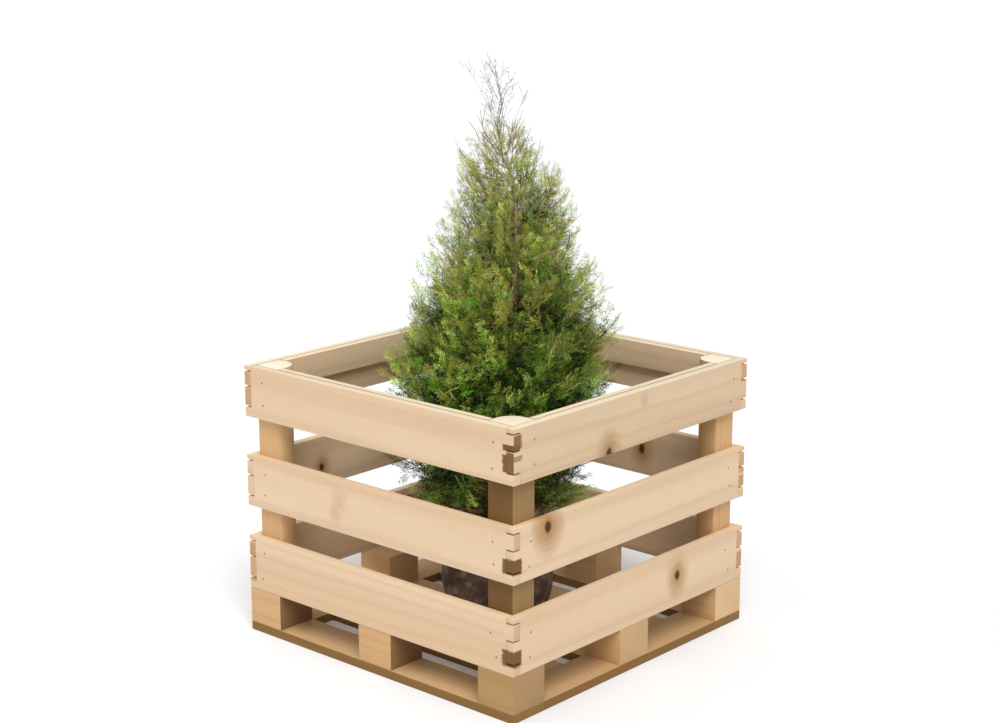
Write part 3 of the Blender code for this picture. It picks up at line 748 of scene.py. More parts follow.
ball = {
    "foot": 0.0208,
    "profile": (  # radius and height above the foot, from the underside to the tied neck
        (0.000, 0.000), (0.052, 0.000), (0.080, 0.003), (0.098, 0.014), (0.116, 0.046),
        (0.1255, 0.092), (0.1235, 0.134), (0.108, 0.170), (0.078, 0.194), (0.046, 0.206),
        (0.030, 0.216), (0.0245, 0.227),
    ),
    "around": 256,
    "upward": 150,
    "shoulder": 0.206,
    "folds": 0.0035,
    "waves": ((1.0, 3, 9.0, 0.0), (0.6, 5, -14.0, 1.0)),
    "pleats": 17,
    "pleatDepth": 0.0032,
    "wrinkles": 0.0022,
    "threadPitch": 0.0021,
    "weaveGirth": 0.75,  # the cloth's length round the ball, and up it
    "weaveHeight": 0.42,
    "damp": (0.085, 0.052, 0.042),
    "earth": (0.190, 0.122, 0.098),
    "dust": (0.520, 0.380, 0.270),
    "roughness": 0.95,
}
neckRadius, neckRise = ball["profile"][-1]
neckHeight = ball["foot"] + neckRise


def makeSacking():
    finish, tree, shader = newMaterial("jute_sacking", ball["roughness"])
    place = ownPlace(tree)
    weaveMap = addNode(tree, "ShaderNodeUVMap", uv_map="weave").outputs["UV"]
    warp, weft = (
        waves(
            tree, weaveMap, ball["threadPitch"], {"Distortion": 1.2, "Detail": 1.0},
            wave_type="BANDS", bands_direction=way,
        )
        for way in "XY"
    )
    weave = maths(tree, "MAXIMUM", warp, weft)
    stain = ramp(tree, speckle(tree, place, 16.0, 6.0, 0.62), ((0.38, 0.0), (0.62, 1.0)))
    dust = ramp(tree, speckle(tree, place, 34.0, 8.0, 0.72), ((0.50, 0.0), (0.60, 0.35), (0.72, 0.75)))
    colour = mixColour(tree, stain, ball["damp"], ball["earth"])
    colour = mixColour(tree, dust, colour, ball["dust"])
    colour = mixColour(tree, 1.0, colour, remap(tree, weave, 0.3, 0.9, 0.62, 1.1), "MULTIPLY")
    crumbs = maths(tree, "MULTIPLY_ADD", speckle(tree, place, 240.0, 4.0), 0.8, weave)
    finishMaterial(tree, shader, colour, crumbs, 0.7, 0.0012)
    return finish


# Radius and height at a share of the profile's length, on a smooth curve through its points.
def profileAt(share):
    points = ball["profile"]
    lengths = [math.dist(first, second) for first, second in zip(points, points[1:])]
    wanted = share * sum(lengths)
    index = 0
    while wanted > lengths[index] and index < len(lengths) - 1:
        wanted -= lengths[index]
        index += 1
    part = min(wanted / lengths[index], 1.0)
    around = [points[min(max(index + step, 0), len(points) - 1)] for step in (-1, 0, 1, 2)]
    return [
        0.5 * (2 * b + (c - a) * part + (2 * a - 5 * b + 4 * c - d) * part ** 2
               + (3 * b - a - 3 * c + d) * part ** 3)
        for a, b, c, d in zip(*around)
    ]


def wrinkled(place, size, seedShift):
    return noise.noise(Vector(place) * size + Vector((seedShift, 0.0, 0.0)))


# How far the cloth stands off the profile in one place.
def clothRelief(turn, radius, height, swell, gather):
    fold = sum(
        weight * math.sin(folds * turn + rise * height + start)
        for weight, folds, rise, start in ball["waves"]
    )
    pleatPhase = ball["pleats"] * turn / 2 + 2.2 * math.sin(2 * turn) + 1.1 * math.sin(5 * turn + 1)
    pleat = abs(math.sin(pleatPhase)) - 0.6
    reach = radius + ball["folds"] * swell * fold
    spot = ringPoint(reach, turn, height)
    crease = 1 - abs(wrinkled(spot, 22.0, 4.0)) * 2
    soft = wrinkled(spot, 60.0, 9.0)
    quiet = min(height / 0.02, 1.0)  # flatter near the underside
    depth = ball["wrinkles"] * quiet * (0.8 * crease * crease * crease - 0.3 + 0.5 * soft)
    inner = max(radius / 0.09, 0.22) if radius < 0.09 else 1.0
    depth += ball["pleatDepth"] * gather * pleat * inner
    return reach + depth * (1.0 if swell > 0.02 or radius < 0.06 else 0.3)


def makeRootBall():
    around = ball["around"]
    rows = ball["upward"]
    points = []
    for step in range(1, rows + 1):
        share = step / rows
        radius, height = profileAt(share)
        swell = math.sin(math.pi * min(max(height, 0.0) / ball["shoulder"], 1.0))
        gather = min(max((share - 0.62) / 0.34, 0.0), 1.0) ** 1.6  # pleats begin above the shoulder
        for side in range(around):
            turn = 2 * math.pi * side / around
            reach = clothRelief(turn, radius, height, swell, gather)
            points.append(ringPoint(reach, turn, max(height, 0.0) + ball["foot"]))
    hub = len(points)
    points.append((0.0, 0.0, ball["foot"]))
    quads = ringQuads(rows, around)
    first = np.arange(around)
    fan = np.stack([np.full(around, hub), (first + 1) % around, first], axis=1)
    sacking = makeSacking()
    piece = meshFromArrays("root_ball_cloth", np.array(points), [quads, fan], [sacking])
    # The weave follows the cloth: round the ball and up it, in metres.
    fabric = []
    for corners in (*quads, *fan):
        closing = max(corner % around for corner in corners if corner != hub) > 2
        for corner in corners:
            side = around if closing and corner % around == 0 else corner % around
            level = 0.0 if corner == hub else ball["weaveHeight"] * (corner // around) / rows
            fabric.append((0.0 if corner == hub else ball["weaveGirth"] * side / around, level))
    layer = piece.data.uv_layers.new(name="weave")
    layer.data.foreach_set("uv", np.array(fabric, np.float32).reshape(-1))
    whole = joinPieces("root_ball_cloth", [piece, makeFrill(sacking), makeTie()])
    finishPiece(whole, ["root_ball"])
    print("root ball made")


frillSize = {
    "around": 180,
    "rows": 16,
    "height": 0.030,
    "reach": 0.030,
    "pleatDepth": 0.0042,
    "insideNeck": 0.0035,
    "belowNeck": 0.002,
    "weave": (0.40, 0.06),
    "thickness": 0.0012,
}


# The gathered corners of the cloth stand up round the trunk above the tie.
def makeFrill(sacking):
    around = frillSize["around"]
    rows = frillSize["rows"]
    girth, slant = frillSize["weave"]
    points = []
    uvs = []
    for row in range(rows + 1):
        share = row / rows
        for side in range(around):
            turn = 2 * math.pi * side / around
            corner = 0.55 + 0.45 * math.cos(4 * turn + 0.6) + 0.18 * math.sin(7 * turn)
            pleat = math.sin(15 * turn + 2.0 * math.sin(3 * turn) + 1.4 * share)
            flare = share ** 1.4 * (0.55 + 0.45 * corner)
            reach = neckRadius - frillSize["insideNeck"] + frillSize["reach"] * flare
            reach += frillSize["pleatDepth"] * pleat * (0.3 + share)
            rise = frillSize["height"] * (share - 0.42 * share ** 2.2 * (0.6 + 0.8 * corner))
            rise *= 0.65 + 0.35 * corner
            points.append(ringPoint(reach, turn, neckHeight - frillSize["belowNeck"] + rise))
            uvs.append((girth * side / around, slant * share))
    quads = ringQuads(rows + 1, around)
    frill = meshFromArrays("frill", np.array(points), [quads], [sacking])
    layer = frill.data.uv_layers.new(name="weave")
    layer.data.foreach_set("uv", np.array(uvs, np.float32)[quads.reshape(-1)].reshape(-1))
    applyModifier(frill, "SOLIDIFY", thickness=frillSize["thickness"], offset=0.0)
    return frill


twine = {
    "radius": 0.0015,
    "turns": 3,
    "stepsPerTurn": 40,
    "offNeck": 0.0022,
    "bowSteps": 14,
    "colours": ((0.3, (0.20, 0.13, 0.07)), (0.7, (0.42, 0.29, 0.16))),
    "roughness": 0.9,
}


def makeTie():
    finish, tree, shader = newMaterial("jute_twine", twine["roughness"])
    strand = speckle(tree, ownPlace(tree), 700.0, 4.0)
    finishMaterial(tree, shader, ramp(tree, strand, twine["colours"]), strand, 0.6, 0.0008)
    turns = twine["turns"]
    steps = twine["stepsPerTurn"] * turns
    reach = neckRadius + twine["offNeck"]
    path = []
    for step in range(steps + 1):
        turn = 2 * math.pi * turns * step / steps
        lift = twine["radius"] * 2 * (turns * step / steps - turns / 2)
        path.append(ringPoint(reach, turn, neckHeight + lift))
    knot = Vector(path[-1])
    for step in range(twine["bowSteps"]):
        turn = 2 * math.pi * step / twine["bowSteps"]
        loop = (0.006 + 0.010 * math.sin(turn), 0.014 * math.sin(2 * turn), 0.004 * math.cos(turn))
        path.append(tuple(knot + Vector(loop)))
    tie = tubePiece("tie", [(np.array(path), np.full(len(path), twine["radius"]))], 8, finish)
    tie.data.uv_layers.new(name="weave")
    return tie


makeRootBall()


# The plant's own lines, as its solids have them

plant = {
    "trunkFoot": 0.2256,
    "trunkTop": 1.100,
    "top": 1.315,
    "trunkRadius": 0.0100,
    "tipRadius": 0.0022,
    "flare": 0.0062,
    "flareHeight": 0.022,
    "leanBearing": math.radians(41.7),
    "lean": (  # height, and how far the trunk's line stands off the middle there
        (0.225, 0.000), (0.450, 0.016), (0.800, 0.041), (1.010, 0.041), (1.060, 0.026),
        (1.100, 0.010), (1.150, 0.000), (1.205, 0.010), (1.265, -0.002), (1.315, -0.022),
    ),
    "sway": 0.007,
    "swayTurn": 5.5,
    "taper": 0.85,
}
crown = {
    "reach": (  # height, and how far the crown reaches there
        (0.245, 0.150), (0.300, 0.205), (0.380, 0.255), (0.500, 0.278), (0.620, 0.274),
        (0.700, 0.256), (0.780, 0.232), (0.855, 0.206), (0.917, 0.166), (1.000, 0.120),
        (1.060, 0.092), (1.110, 0.070), (1.150, 0.040),
    ),
    "fullerSide": 0.09,
    "lumps": 0.075,
    "waves": ((0.6, 3, 17.0), (0.4, 7, -29.0)),
    "floor": 0.288,
    "skirtDrop": 0.035,
    "skirtStart": (0.14, 0.05),  # where the floor begins to drop, and over how much
    "sweep": 0.55,
    "borderWave": 0.010,
    "swirl": (0.7, 0.6),  # the masses turn by this with height, and stand straight at that one
    "swirlWave": (0.12, 21),
    "leafySpan": (0.27, 0.85),  # the foot of the foliage, and its height
    "limbLevel": 0.48,  # where a limb runs between the borders of its tier
}
# Each tier: name, height of its upper border at the trunk, sectors, bearing of the first,
# bough length, plumes on each mass, length of its sprays.
tiers = (
    ("skirt", 0.335, 3, 0.35, 0.060, 15, 0.062),
    ("low", 0.460, 3, 1.40, 0.058, 22, 0.064),
    ("middle", 0.590, 3, 0.35, 0.0, 25, 0.062),
    ("high", 0.730, 3, 1.40, 0.0, 26, 0.058),
    ("upper", 0.880, 2, 0.60, 0.0, 36, 0.052),
    ("spire", 1.140, 2, 2.20, 0.0, 42, 0.042),
)
upward = np.array([0.0, 0.0, 1.0])


# How far values have come on their way from a start over a span, from nought to one.
def progress(values, start, span):
    return np.clip((values - start) / span, 0.0, 1.0)


def unit(vectors):
    return vectors / np.maximum(np.linalg.norm(vectors, axis=-1, keepdims=True), 1e-9)


# The part of a direction that is square to another one.
def squareTo(vector, way):
    return vector - way * float(vector @ way)


# Values at some heights, on a smooth curve through a table.
def along(table, heights):
    steps = np.array(table)
    heights = np.asarray(heights, float)
    index = np.clip(np.searchsorted(steps[:, 0], heights) - 1, 0, len(steps) - 2)
    low = steps[index]
    high = steps[index + 1]
    share = progress(heights, low[..., 0], high[..., 0] - low[..., 0])
    return low[..., 1] + (high[..., 1] - low[..., 1]) * (1 - np.cos(np.pi * share)) / 2


def trunkLine(heights):
    heights = np.asarray(heights, float)
    lean = along(plant["lean"], heights)
    sway = plant["sway"] * np.sin(plant["swayTurn"] * (heights - plant["trunkFoot"]))
    cosine = math.cos(plant["leanBearing"])
    sine = math.sin(plant["leanBearing"])
    return np.stack([lean * cosine - sway * sine, lean * sine + sway * cosine, heights], axis=-1)


def trunkWidth(heights):
    heights = np.asarray(heights, float)
    share = progress(heights, plant["trunkFoot"], plant["trunkTop"] - plant["trunkFoot"])
    flare = plant["flare"] * np.exp(-(heights - plant["trunkFoot"]) / plant["flareHeight"])
    thinner = plant["tipRadius"] - plant["trunkRadius"]
    return plant["trunkRadius"] + thinner * share ** plant["taper"] + flare


# Heights, distances from the trunk's line and bearings of points.
def crownPlace(points):
    offset = points - trunkLine(points[..., 2])
    x, y = offset[..., 0], offset[..., 1]
    return points[..., 2], np.hypot(x, y), np.arctan2(y, x)


# How far the crown reaches at heights and bearings.
def crownReach(heights, bearings):
    fuller = 1 - crown["fullerSide"] * np.cos(bearings - plant["leanBearing"])
    lumps = sum(
        weight * np.sin(count * bearings + turn * heights) for weight, count, turn in crown["waves"]
    )
    return along(crown["reach"], heights) * fuller * (1 + crown["lumps"] * lumps)


# The height of a tier's upper border, which rises outwards. Under the first lies the floor.
def tierBorder(index, distances, bearings):
    if index < 0:
        return crown["floor"] - crown["skirtDrop"] * progress(distances, *crown["skirtStart"])
    wave = crown["borderWave"] * np.sin(3 * bearings + 2.1 * index)
    return tiers[index][1] + crown["sweep"] * distances + wave


# How far the borders between the masses of a tier turn with height.
def swirl(heights):
    turn, straight = crown["swirl"]
    depth, count = crown["swirlWave"]
    return turn * (heights - straight) + depth * np.sin(count * heights)


def massBearing(tier, sector):
    _, _, sectors, first, _, _, _ = tiers[tier]
    return first + 2 * math.pi * sector / sectors


def pointAt(heights, distances, bearings):
    flat = [distances * np.cos(bearings), distances * np.sin(bearings), np.zeros_like(distances)]
    return trunkLine(heights) + np.stack(flat, axis=-1)


# Whether points lie in the share of the crown that one mass keeps to.
def massHolds(points, tier, middle, half, inner, margin):
    heights, distances, bearings = crownPlace(points)
    off = np.remainder(bearings - middle - swirl(heights) + np.pi, 2 * np.pi) - np.pi
    left = half - np.abs(off)
    return (
        (distances > np.maximum(inner, trunkWidth(heights) + 0.004))
        & (distances < crownReach(heights, bearings))
        & (heights > tierBorder(tier - 1, distances, bearings) + margin)
        & (heights < tierBorder(tier, distances, bearings) - margin)
        & (left > 0)
        & (distances * np.sin(np.clip(left, 0.0, np.pi / 2)) > margin)
    )


# The middle line of a mass's own limb, between two distances from the trunk.
def limbPoints(tier, middle, near, far, count):
    distances = np.linspace(near, far, count)
    bearings = np.full(count, middle)
    for _ in range(3):
        low = tierBorder(tier - 1, distances, bearings)
        high = tierBorder(tier, distances, bearings)
        heights = low + crown["limbLevel"] * (high - low)
        bearings = middle + swirl(heights)
    return pointAt(heights, distances, bearings)


# Sprays: flat, fern-like fans of scale leaves

spray = {
    "kinds": 10,
    "branchlets": 12,
    "leafWidth": 0.028,
    "spread": 0.35,
    "branchTurn": (24, 48),  # degrees off the stem
    "forkTurn": (22, 44),
    "droop": 0.12,
    "sideDroop": 0.16,
    "roughness": 0.55,
    "sheen": 0.22,
}
# Leaf colours by name. Each spray gets one of them by its place in the crown. The near-black first one is
# painted shade for sprays deep inside and low in the crown.
leafTones = {
    "leaf_deep_shade": (0.006, 0.017, 0.003),
    "leaf_shade": (0.034, 0.082, 0.006),
    "leaf_green": (0.150, 0.290, 0.027),
    "leaf_fresh": (0.320, 0.510, 0.050),
    "leaf_bright": (0.680, 0.860, 0.190),
    "leaf_olive": (0.455, 0.435, 0.068),
    "leaf_sage": (0.340, 0.400, 0.180),
    "leaf_ochre": (0.540, 0.430, 0.150),
    "leaf_grass": (0.180, 0.440, 0.026),
}
# For each tone of a spray, the tones of its stem, its inner leaves, its outer ones and its tips.
toneSteps = (
    (0, 0, 0, 1), (1, 0, 1, 2), (1, 1, 2, 3), (2, 2, 3, 4), (3, 3, 4, 4), (7, 2, 5, 5),
    (6, 1, 6, 3), (7, 5, 7, 5), (1, 1, 8, 8), (2, 8, 8, 4), (1, 1, 2, 5), (1, 1, 6, 6),
)


def makeLeafFinish(name, colour):
    finish, tree, shader = newMaterial(name, spray["roughness"], spray["sheen"])
    scales = addNode(tree, "ShaderNodeTexVoronoi", {"Vector": ownPlace(tree), "Scale": 700.0})
    finishMaterial(tree, shader, colour, scales.outputs["Distance"], 0.5, 0.0006)
    return finish


# One leaf as a kite: its root, its two shoulders and its tip, in the plane of the spray.
def kite(root, turn, length, width, lift):
    ahead = np.array([math.cos(turn), math.sin(turn), 0.0])
    side = np.array([-math.sin(turn), math.cos(turn), 0.0]) * width / 2
    root = np.array(root)
    shoulder = root + ahead * length * 0.55
    up = np.array([0.0, 0.0, lift])
    return [root, shoulder - side + up * 0.3, root + ahead * length + up, shoulder + side + up * 0.6]


# A spray of unit length along X, flat in XY, as an array of kites, and the part each plays:
# 0 stem, 1 inner leaf, 2 outer leaf, 3 tip.
def sprayShape(rng):
    width = spray["leafWidth"]
    stem = kite((0, 0, 0), 0.0, 0.66, width * 0.7, 0.0)
    kites = [stem, kite((0.55, 0, 0), 0.0, 0.45, width * 0.8, 0.01)]
    parts = [0, 3]
    for index in range(spray["branchlets"]):
        place = 0.08 + 0.80 * (index + rng.uniform(-0.3, 0.3)) / (spray["branchlets"] - 1)
        turn = (1 if index % 2 else -1) * math.radians(rng.uniform(*spray["branchTurn"]))
        outline = math.sin(math.pi * (0.22 + 0.72 * place)) ** 0.7
        reach = spray["spread"] * outline * rng.uniform(0.65, 1.3)
        lift = rng.uniform(-0.06, 0.07)
        kites.append(kite((place, 0.0, 0.0), turn, reach, width * rng.uniform(0.75, 1.15), lift))
        parts.append(2 if place > 0.45 else 1)
        twiglets = 2 if reach > 0.24 else 1
        for step in range(twiglets):
            share = 0.34 + 0.46 * step / twiglets + rng.uniform(-0.06, 0.06)
            fork = turn + (1 if step % 2 else -1) * math.radians(rng.uniform(*spray["forkTurn"]))
            start = (place + math.cos(turn) * reach * share, math.sin(turn) * reach * share, lift * share)
            length = reach * (0.60 - 0.24 * share) * rng.uniform(0.8, 1.3)
            kites.append(kite(start, fork, length, width * 0.80, rng.uniform(-0.05, 0.06)))
            parts.append(3 if step or place > 0.6 else 2)
    shape = np.array(kites)
    shape[..., 2] -= spray["droop"] * shape[..., 0] ** 2
    shape[..., 2] -= spray["sideDroop"] * shape[..., 1] ** 2
    return shape, np.array(parts)


# Places every spray: its root, heading, side, length and kind make one array of points.
def sprayPoints(shapes, kinds, rows):
    normals = np.cross(rows[:, 3:6], rows[:, 6:9])
    allPoints = []
    owners = []
    parts = []
    for kind, (shape, partMarks) in enumerate(shapes):
        chosen = np.nonzero(kinds == kind)[0]
        flat = shape.reshape(-1, 3)
        points = rows[chosen, 0:3][:, None] + rows[chosen, 9][:, None, None] * (
            rows[chosen, 3:6][:, None] * flat[None, :, 0:1]
            + rows[chosen, 6:9][:, None] * flat[None, :, 1:2]
            + normals[chosen][:, None] * flat[None, :, 2:3]
        )
        allPoints.append(points.reshape(-1, 3))
        owners.append(np.repeat(chosen, len(shape)))
        parts.append(np.tile(partMarks, len(chosen)))
    return np.concatenate(allPoints), np.concatenate(owners), np.concatenate(parts)


growth = {
    "notches": 0.20,  # the crown's reach falls back by up to this share between the boughs
    "topSpread": 0.030,  # how far the topmost plumes stand out of the masses
    "topStart": (0.88, 0.20),  # the height where that begins, and over how much it grows
    "trials": 5000,  # points tried for the ends of twigs in one mass
    "stemShare": 0.60,
    "stemRadius": (0.0026, 0.0008),
    "plumeRadius": (0.0017, 0.0005),
    "plumeReach": (0.62, 0.94),  # share of the crown's reach where a plume ends
    "plumeWobble": 0.0022,
    "leafyRun": 0.15,  # the leafy outer part of a plume is no longer than this
    "sprayStep": 0.0118,
    "sprayTurn": (1.00, 0.55),  # from the axis: at the first spray, and at the last
    "sprayTaper": (1.05, 0.62),
    "shoots": 3,
    "shootLength": (0.050, 0.085),  # with sprays of the length that follows
    "shootSpray": 0.068,
    "shootRadius": (0.0010, 0.0005),
    "lift": 0.12,
    "fillShare": 1.5,  # short inner twigs for each plume
    "fillShareHigh": 0.4,
    "highTier": 4,  # the first that counts as high
    "fillReach": (0.22, 0.66),
    "fillRadius": (0.0011, 0.0005),
    "thinning": (1.03, 1.18, 0.70),  # from one height to the other this share of sprays is lost
    "leafyTop": 1.172,
    "lowestRoot": 0.292,
    "clusterScale": 17.0,
    "parting": (0.740, 1.040, 0.011),  # heights between which the trunk shows, and half its width
}


# Soft noise that gathers sprays of one tone.
def clusters(place, shift=0.0):
    return noise.noise(Vector(place) * growth["clusterScale"] + Vector((shift, 0.0, 0.0)))


# Points spread evenly through a mass, the outer ones first, as in the solids.
def twigTargets(tier, middle, half, inner, wanted, span, rng):
    low = float(tierBorder(tier - 1, np.array(0.02), np.array(middle))) - 0.02
    high = float(tierBorder(tier, np.array(0.26), np.array(middle))) + 0.02
    count = growth["trials"]
    heights = rng.uniform(low, high, count)
    bearings = middle + swirl(heights) + rng.uniform(-half, half, count)
    share = np.sqrt(rng.uniform(span[0] ** 2, span[1] ** 2, count))
    points = pointAt(heights, crownReach(heights, bearings) * share, bearings)
    inside = massHolds(points, tier, middle, half, inner, 0.003)
    points = points[inside]
    share = share[inside]
    chosen = [int(np.argmax(share))]
    gap = np.linalg.norm(points - points[chosen[0]], axis=1)
    while len(chosen) < min(wanted, len(points)):
        best = int(np.argmax(gap * share))
        chosen.append(best)
        gap = np.minimum(gap, np.linalg.norm(points - points[best], axis=1))
    return points[chosen]


# Where a plume that aims at a point of its mass ends: further in between two boughs, and
# further out near the top.
def plumeEnd(target, rng):
    height, distance, bearing = crownPlace(target)
    clump = noise.noise(Vector(ringPoint(2.3, bearing, 9.0 * height - bearing)))
    back = growth["notches"] * min(max(0.5 + 1.3 * clump, 0.0), 1.0)
    share = progress(height, *growth["topStart"])
    out = np.array(ringPoint(1.0, bearing, 0.0))
    far = rng.uniform(0.0, 1.0) * growth["topSpread"] * share - back * distance * (1 - share)
    return target + out * far + upward * (rng.uniform(0.0, 0.02) + 0.5 * far)


# A plume's middle line: it leaves the trunk low, and turns up towards its tip.
def plumePath(target):
    height, distance, _ = crownPlace(target)
    share = progress(height, *crown["leafySpan"])
    rootHeight = height - distance * (0.20 + 1.35 * share)
    root = trunkLine(np.clip(rootHeight, growth["lowestRoot"], plant["trunkTop"] - 0.01))
    steps = np.linspace(0.0, 1.0, 8)[:, None]
    path = root + (target - root) * steps
    path[:, 2] = root[2] + (target[2] - root[2]) * steps[:, 0] ** (1.15 + 0.35 * share)
    return path


# The point at a share of a path, and the way the path runs there.
def pathSpot(path, share):
    spot = share * (len(path) - 1)
    cell = min(int(spot), len(path) - 2)
    step = path[cell + 1] - path[cell]
    return path[cell] + step * (spot - cell), unit(step)


# The sprays along the leafy part of one axis, to either side of it in one plane.
def frondRows(path, flat, begin, length, tone, rng):
    rows = []
    run = float(np.linalg.norm(path[-1] - path[0])) * (1.0 - begin)
    count = max(int(run / growth["sprayStep"]), 3)
    for index in range(count):
        part = (index + rng.uniform(0.15, 0.85)) / count
        start, ahead = pathSpot(path, begin + (0.98 - begin) * part)
        side = unit(squareTo(flat, ahead)) * (1 if index % 2 else -1)
        turn = np.interp(part, (0.0, 1.0), growth["sprayTurn"]) * rng.uniform(0.75, 1.2)
        heading = ahead * math.cos(turn) + side * math.sin(turn) + upward * growth["lift"]
        heading = unit(heading + rng.normal(0.0, 0.18, 3))
        plane = squareTo(side, heading) + rng.normal(0.0, 0.40, 3)
        plane = unit(squareTo(plane, heading))
        size = length * np.interp(part, (0.0, 1.0), growth["sprayTaper"]) * rng.uniform(0.78, 1.22)
        rows.append([*start, *heading, *plane, size, tone + 0.3 * (part - 0.5)])
    tipWay = unit(path[-1] - path[-2])
    plane = unit(squareTo(flat, tipWay))
    rows.append([*path[-1], *tipWay, *plane, length * rng.uniform(0.7, 1.0), tone + 0.25])
    return rows


# A shoot beside a plume, and its sprays.
def growShoot(path, flat, begin, length, tone, rng):
    start, ahead = pathSpot(path, rng.uniform(begin * 0.8, 0.82))
    spin = rng.uniform(0.0, 2 * math.pi)
    aside = np.cross(ahead, flat) * math.sin(spin) + flat * math.cos(spin)
    heading = unit(ahead * 0.85 + unit(aside) * 0.55 + upward * 0.2)
    reach = rng.uniform(*growth["shootLength"]) * length / growth["shootSpray"]
    steps = np.linspace(0.0, 1.0, 5)[:, None]
    shoot = start + heading * reach * steps + upward * 0.10 * reach * steps ** 2
    plane = unit(np.cross(heading, unit(rng.normal(0.0, 1.0, 3))))
    return shoot, frondRows(shoot, plane, 0.15, length * 0.80, tone + rng.uniform(-0.3, 0.3), rng)


# Everything that grows on one mass: paths of its limbs with their radii, and its sprays.
def growMass(tier, sector, rng):
    _, _, sectors, _, bough, plumes, length = tiers[tier]
    half = math.pi / sectors
    middle = massBearing(tier, sector)
    inner = bough + 0.006 if bough else 0.0
    rootHeight = float(limbPoints(tier, middle, 0.02, 0.03, 2)[0, 2])
    far = float(crownReach(rootHeight + 0.05, middle + swirl(rootHeight))) * growth["stemShare"]
    stem = limbPoints(tier, middle, bough or 0.010, far, 9)
    limbs = [(stem, np.linspace(*growth["stemRadius"], len(stem)))]
    rows = []  # root, heading, side, length and tone of each spray
    for target in twigTargets(tier, middle, half, inner, plumes, growth["plumeReach"], rng):
        path = plumePath(plumeEnd(target, rng))
        path[1:-1] += rng.normal(0.0, growth["plumeWobble"], (len(path) - 2, 3))
        limbs.append((path, np.linspace(*growth["plumeRadius"], len(path))))
        run = float(np.linalg.norm(path[-1] - path[0]))
        tone = rng.uniform()
        tipWay = unit(path[-1] - path[-2])
        level = unit(np.cross(tipWay, upward))
        roll = rng.uniform(-1.1, 1.1)
        flat = level * math.cos(roll) + np.cross(level, tipWay) * math.sin(roll)
        begin = max(0.24, 1.0 - growth["leafyRun"] / run)
        rows += frondRows(path, flat, begin, length, tone, rng)
        for _ in range(growth["shoots"]):
            shoot, shootRows = growShoot(path, flat, begin, length, tone, rng)
            limbs.append((shoot, np.linspace(*growth["shootRadius"], len(shoot))))
            rows += shootRows

    # Short twigs fill the inside, their sprays painted darker than the plumes as shade.
    fill = int(plumes * growth["fillShare" if tier < growth["highTier"] else "fillShareHigh"])
    for target in twigTargets(tier, middle, half, inner, fill, growth["fillReach"], rng):
        way = unit(target - trunkLine(target[2] - 0.05))
        way = unit(way + rng.normal(0.0, 0.35, 3))
        start = target - way * rng.uniform(0.03, 0.05)
        limbs.append((np.array([start, target]), np.array(growth["fillRadius"])))
        level = unit(np.cross(way, upward))
        for _ in range(3):
            heading = unit(way + rng.normal(0.0, 0.45, 3))
            root = target - way * rng.uniform(0.0, 0.02)
            other = unit(squareTo(level, heading))
            rows.append([*root, *heading, *other, length * rng.uniform(0.7, 1.0), -0.8])
    return limbs, np.array(rows)


# Points at a share of the sprays' length.
def sprayTips(rows, share=1.0):
    return rows[:, 0:3] + rows[:, 3:6] * rows[:, 9:10] * share


# The heights of the sprays' tips, and which of them stay within the crown.
def withinCrown(rows, widening, allowance, dip):
    heights, distances, bearings = crownPlace(sprayTips(rows))
    spare = allowance + growth["topSpread"] * progress(heights, *growth["topStart"])
    within = distances < crownReach(heights, bearings) * widening + spare
    return heights, within & (heights > tierBorder(-1, distances, bearings) - dip)


# Shortens the sprays that would leave the crown or dip below its floor, and drops what still does.
def fitSprays(rows, rng):
    for _ in range(3):
        _, within = withinCrown(rows, 1.02, 0.004, 0.0)
        rows[~within, 9] *= 0.86
    heights, kept = withinCrown(rows, 1.05, 0.006, 0.006)
    start, end, most = growth["thinning"]
    kept &= rng.uniform(size=len(rows)) > most * progress(heights, start, end - start)
    kept &= heights < growth["leafyTop"]
    # The foliage parts on one side, more at some heights, so that the trunk shows through it.
    middles = sprayTips(rows, 0.5)
    low, high, width = growth["parting"]
    offset = middles - trunkLine(middles[:, 2])
    heading = math.radians(view["heading"])
    aside = offset[:, 0] * math.cos(heading) + offset[:, 1] * math.sin(heading)
    before = offset[:, 0] * math.sin(heading) - offset[:, 1] * math.cos(heading)
    parted = (np.abs(aside) < width) & (before > -0.004) & (middles[:, 2] > low) & (middles[:, 2] < high)
    lost = np.where(np.sin(41.0 * middles[:, 2]) > -0.35, 0.94, 0.45)
    kept &= ~(parted & (rng.uniform(size=len(rows)) < lost))
    return rows[kept]


# How much each thing brightens a spray, in steps of tone. Outer and shadedFoot paint shade: sprays deep
# inside and low down are darker.
toneWeights = {
    "outer": 3.3,
    "high": 1.0,
    "plume": 1.5,
    "clumps": 9.0,
    "chance": 1.8,
    "least": -1.55,
    "shadedFoot": 1.3,
}


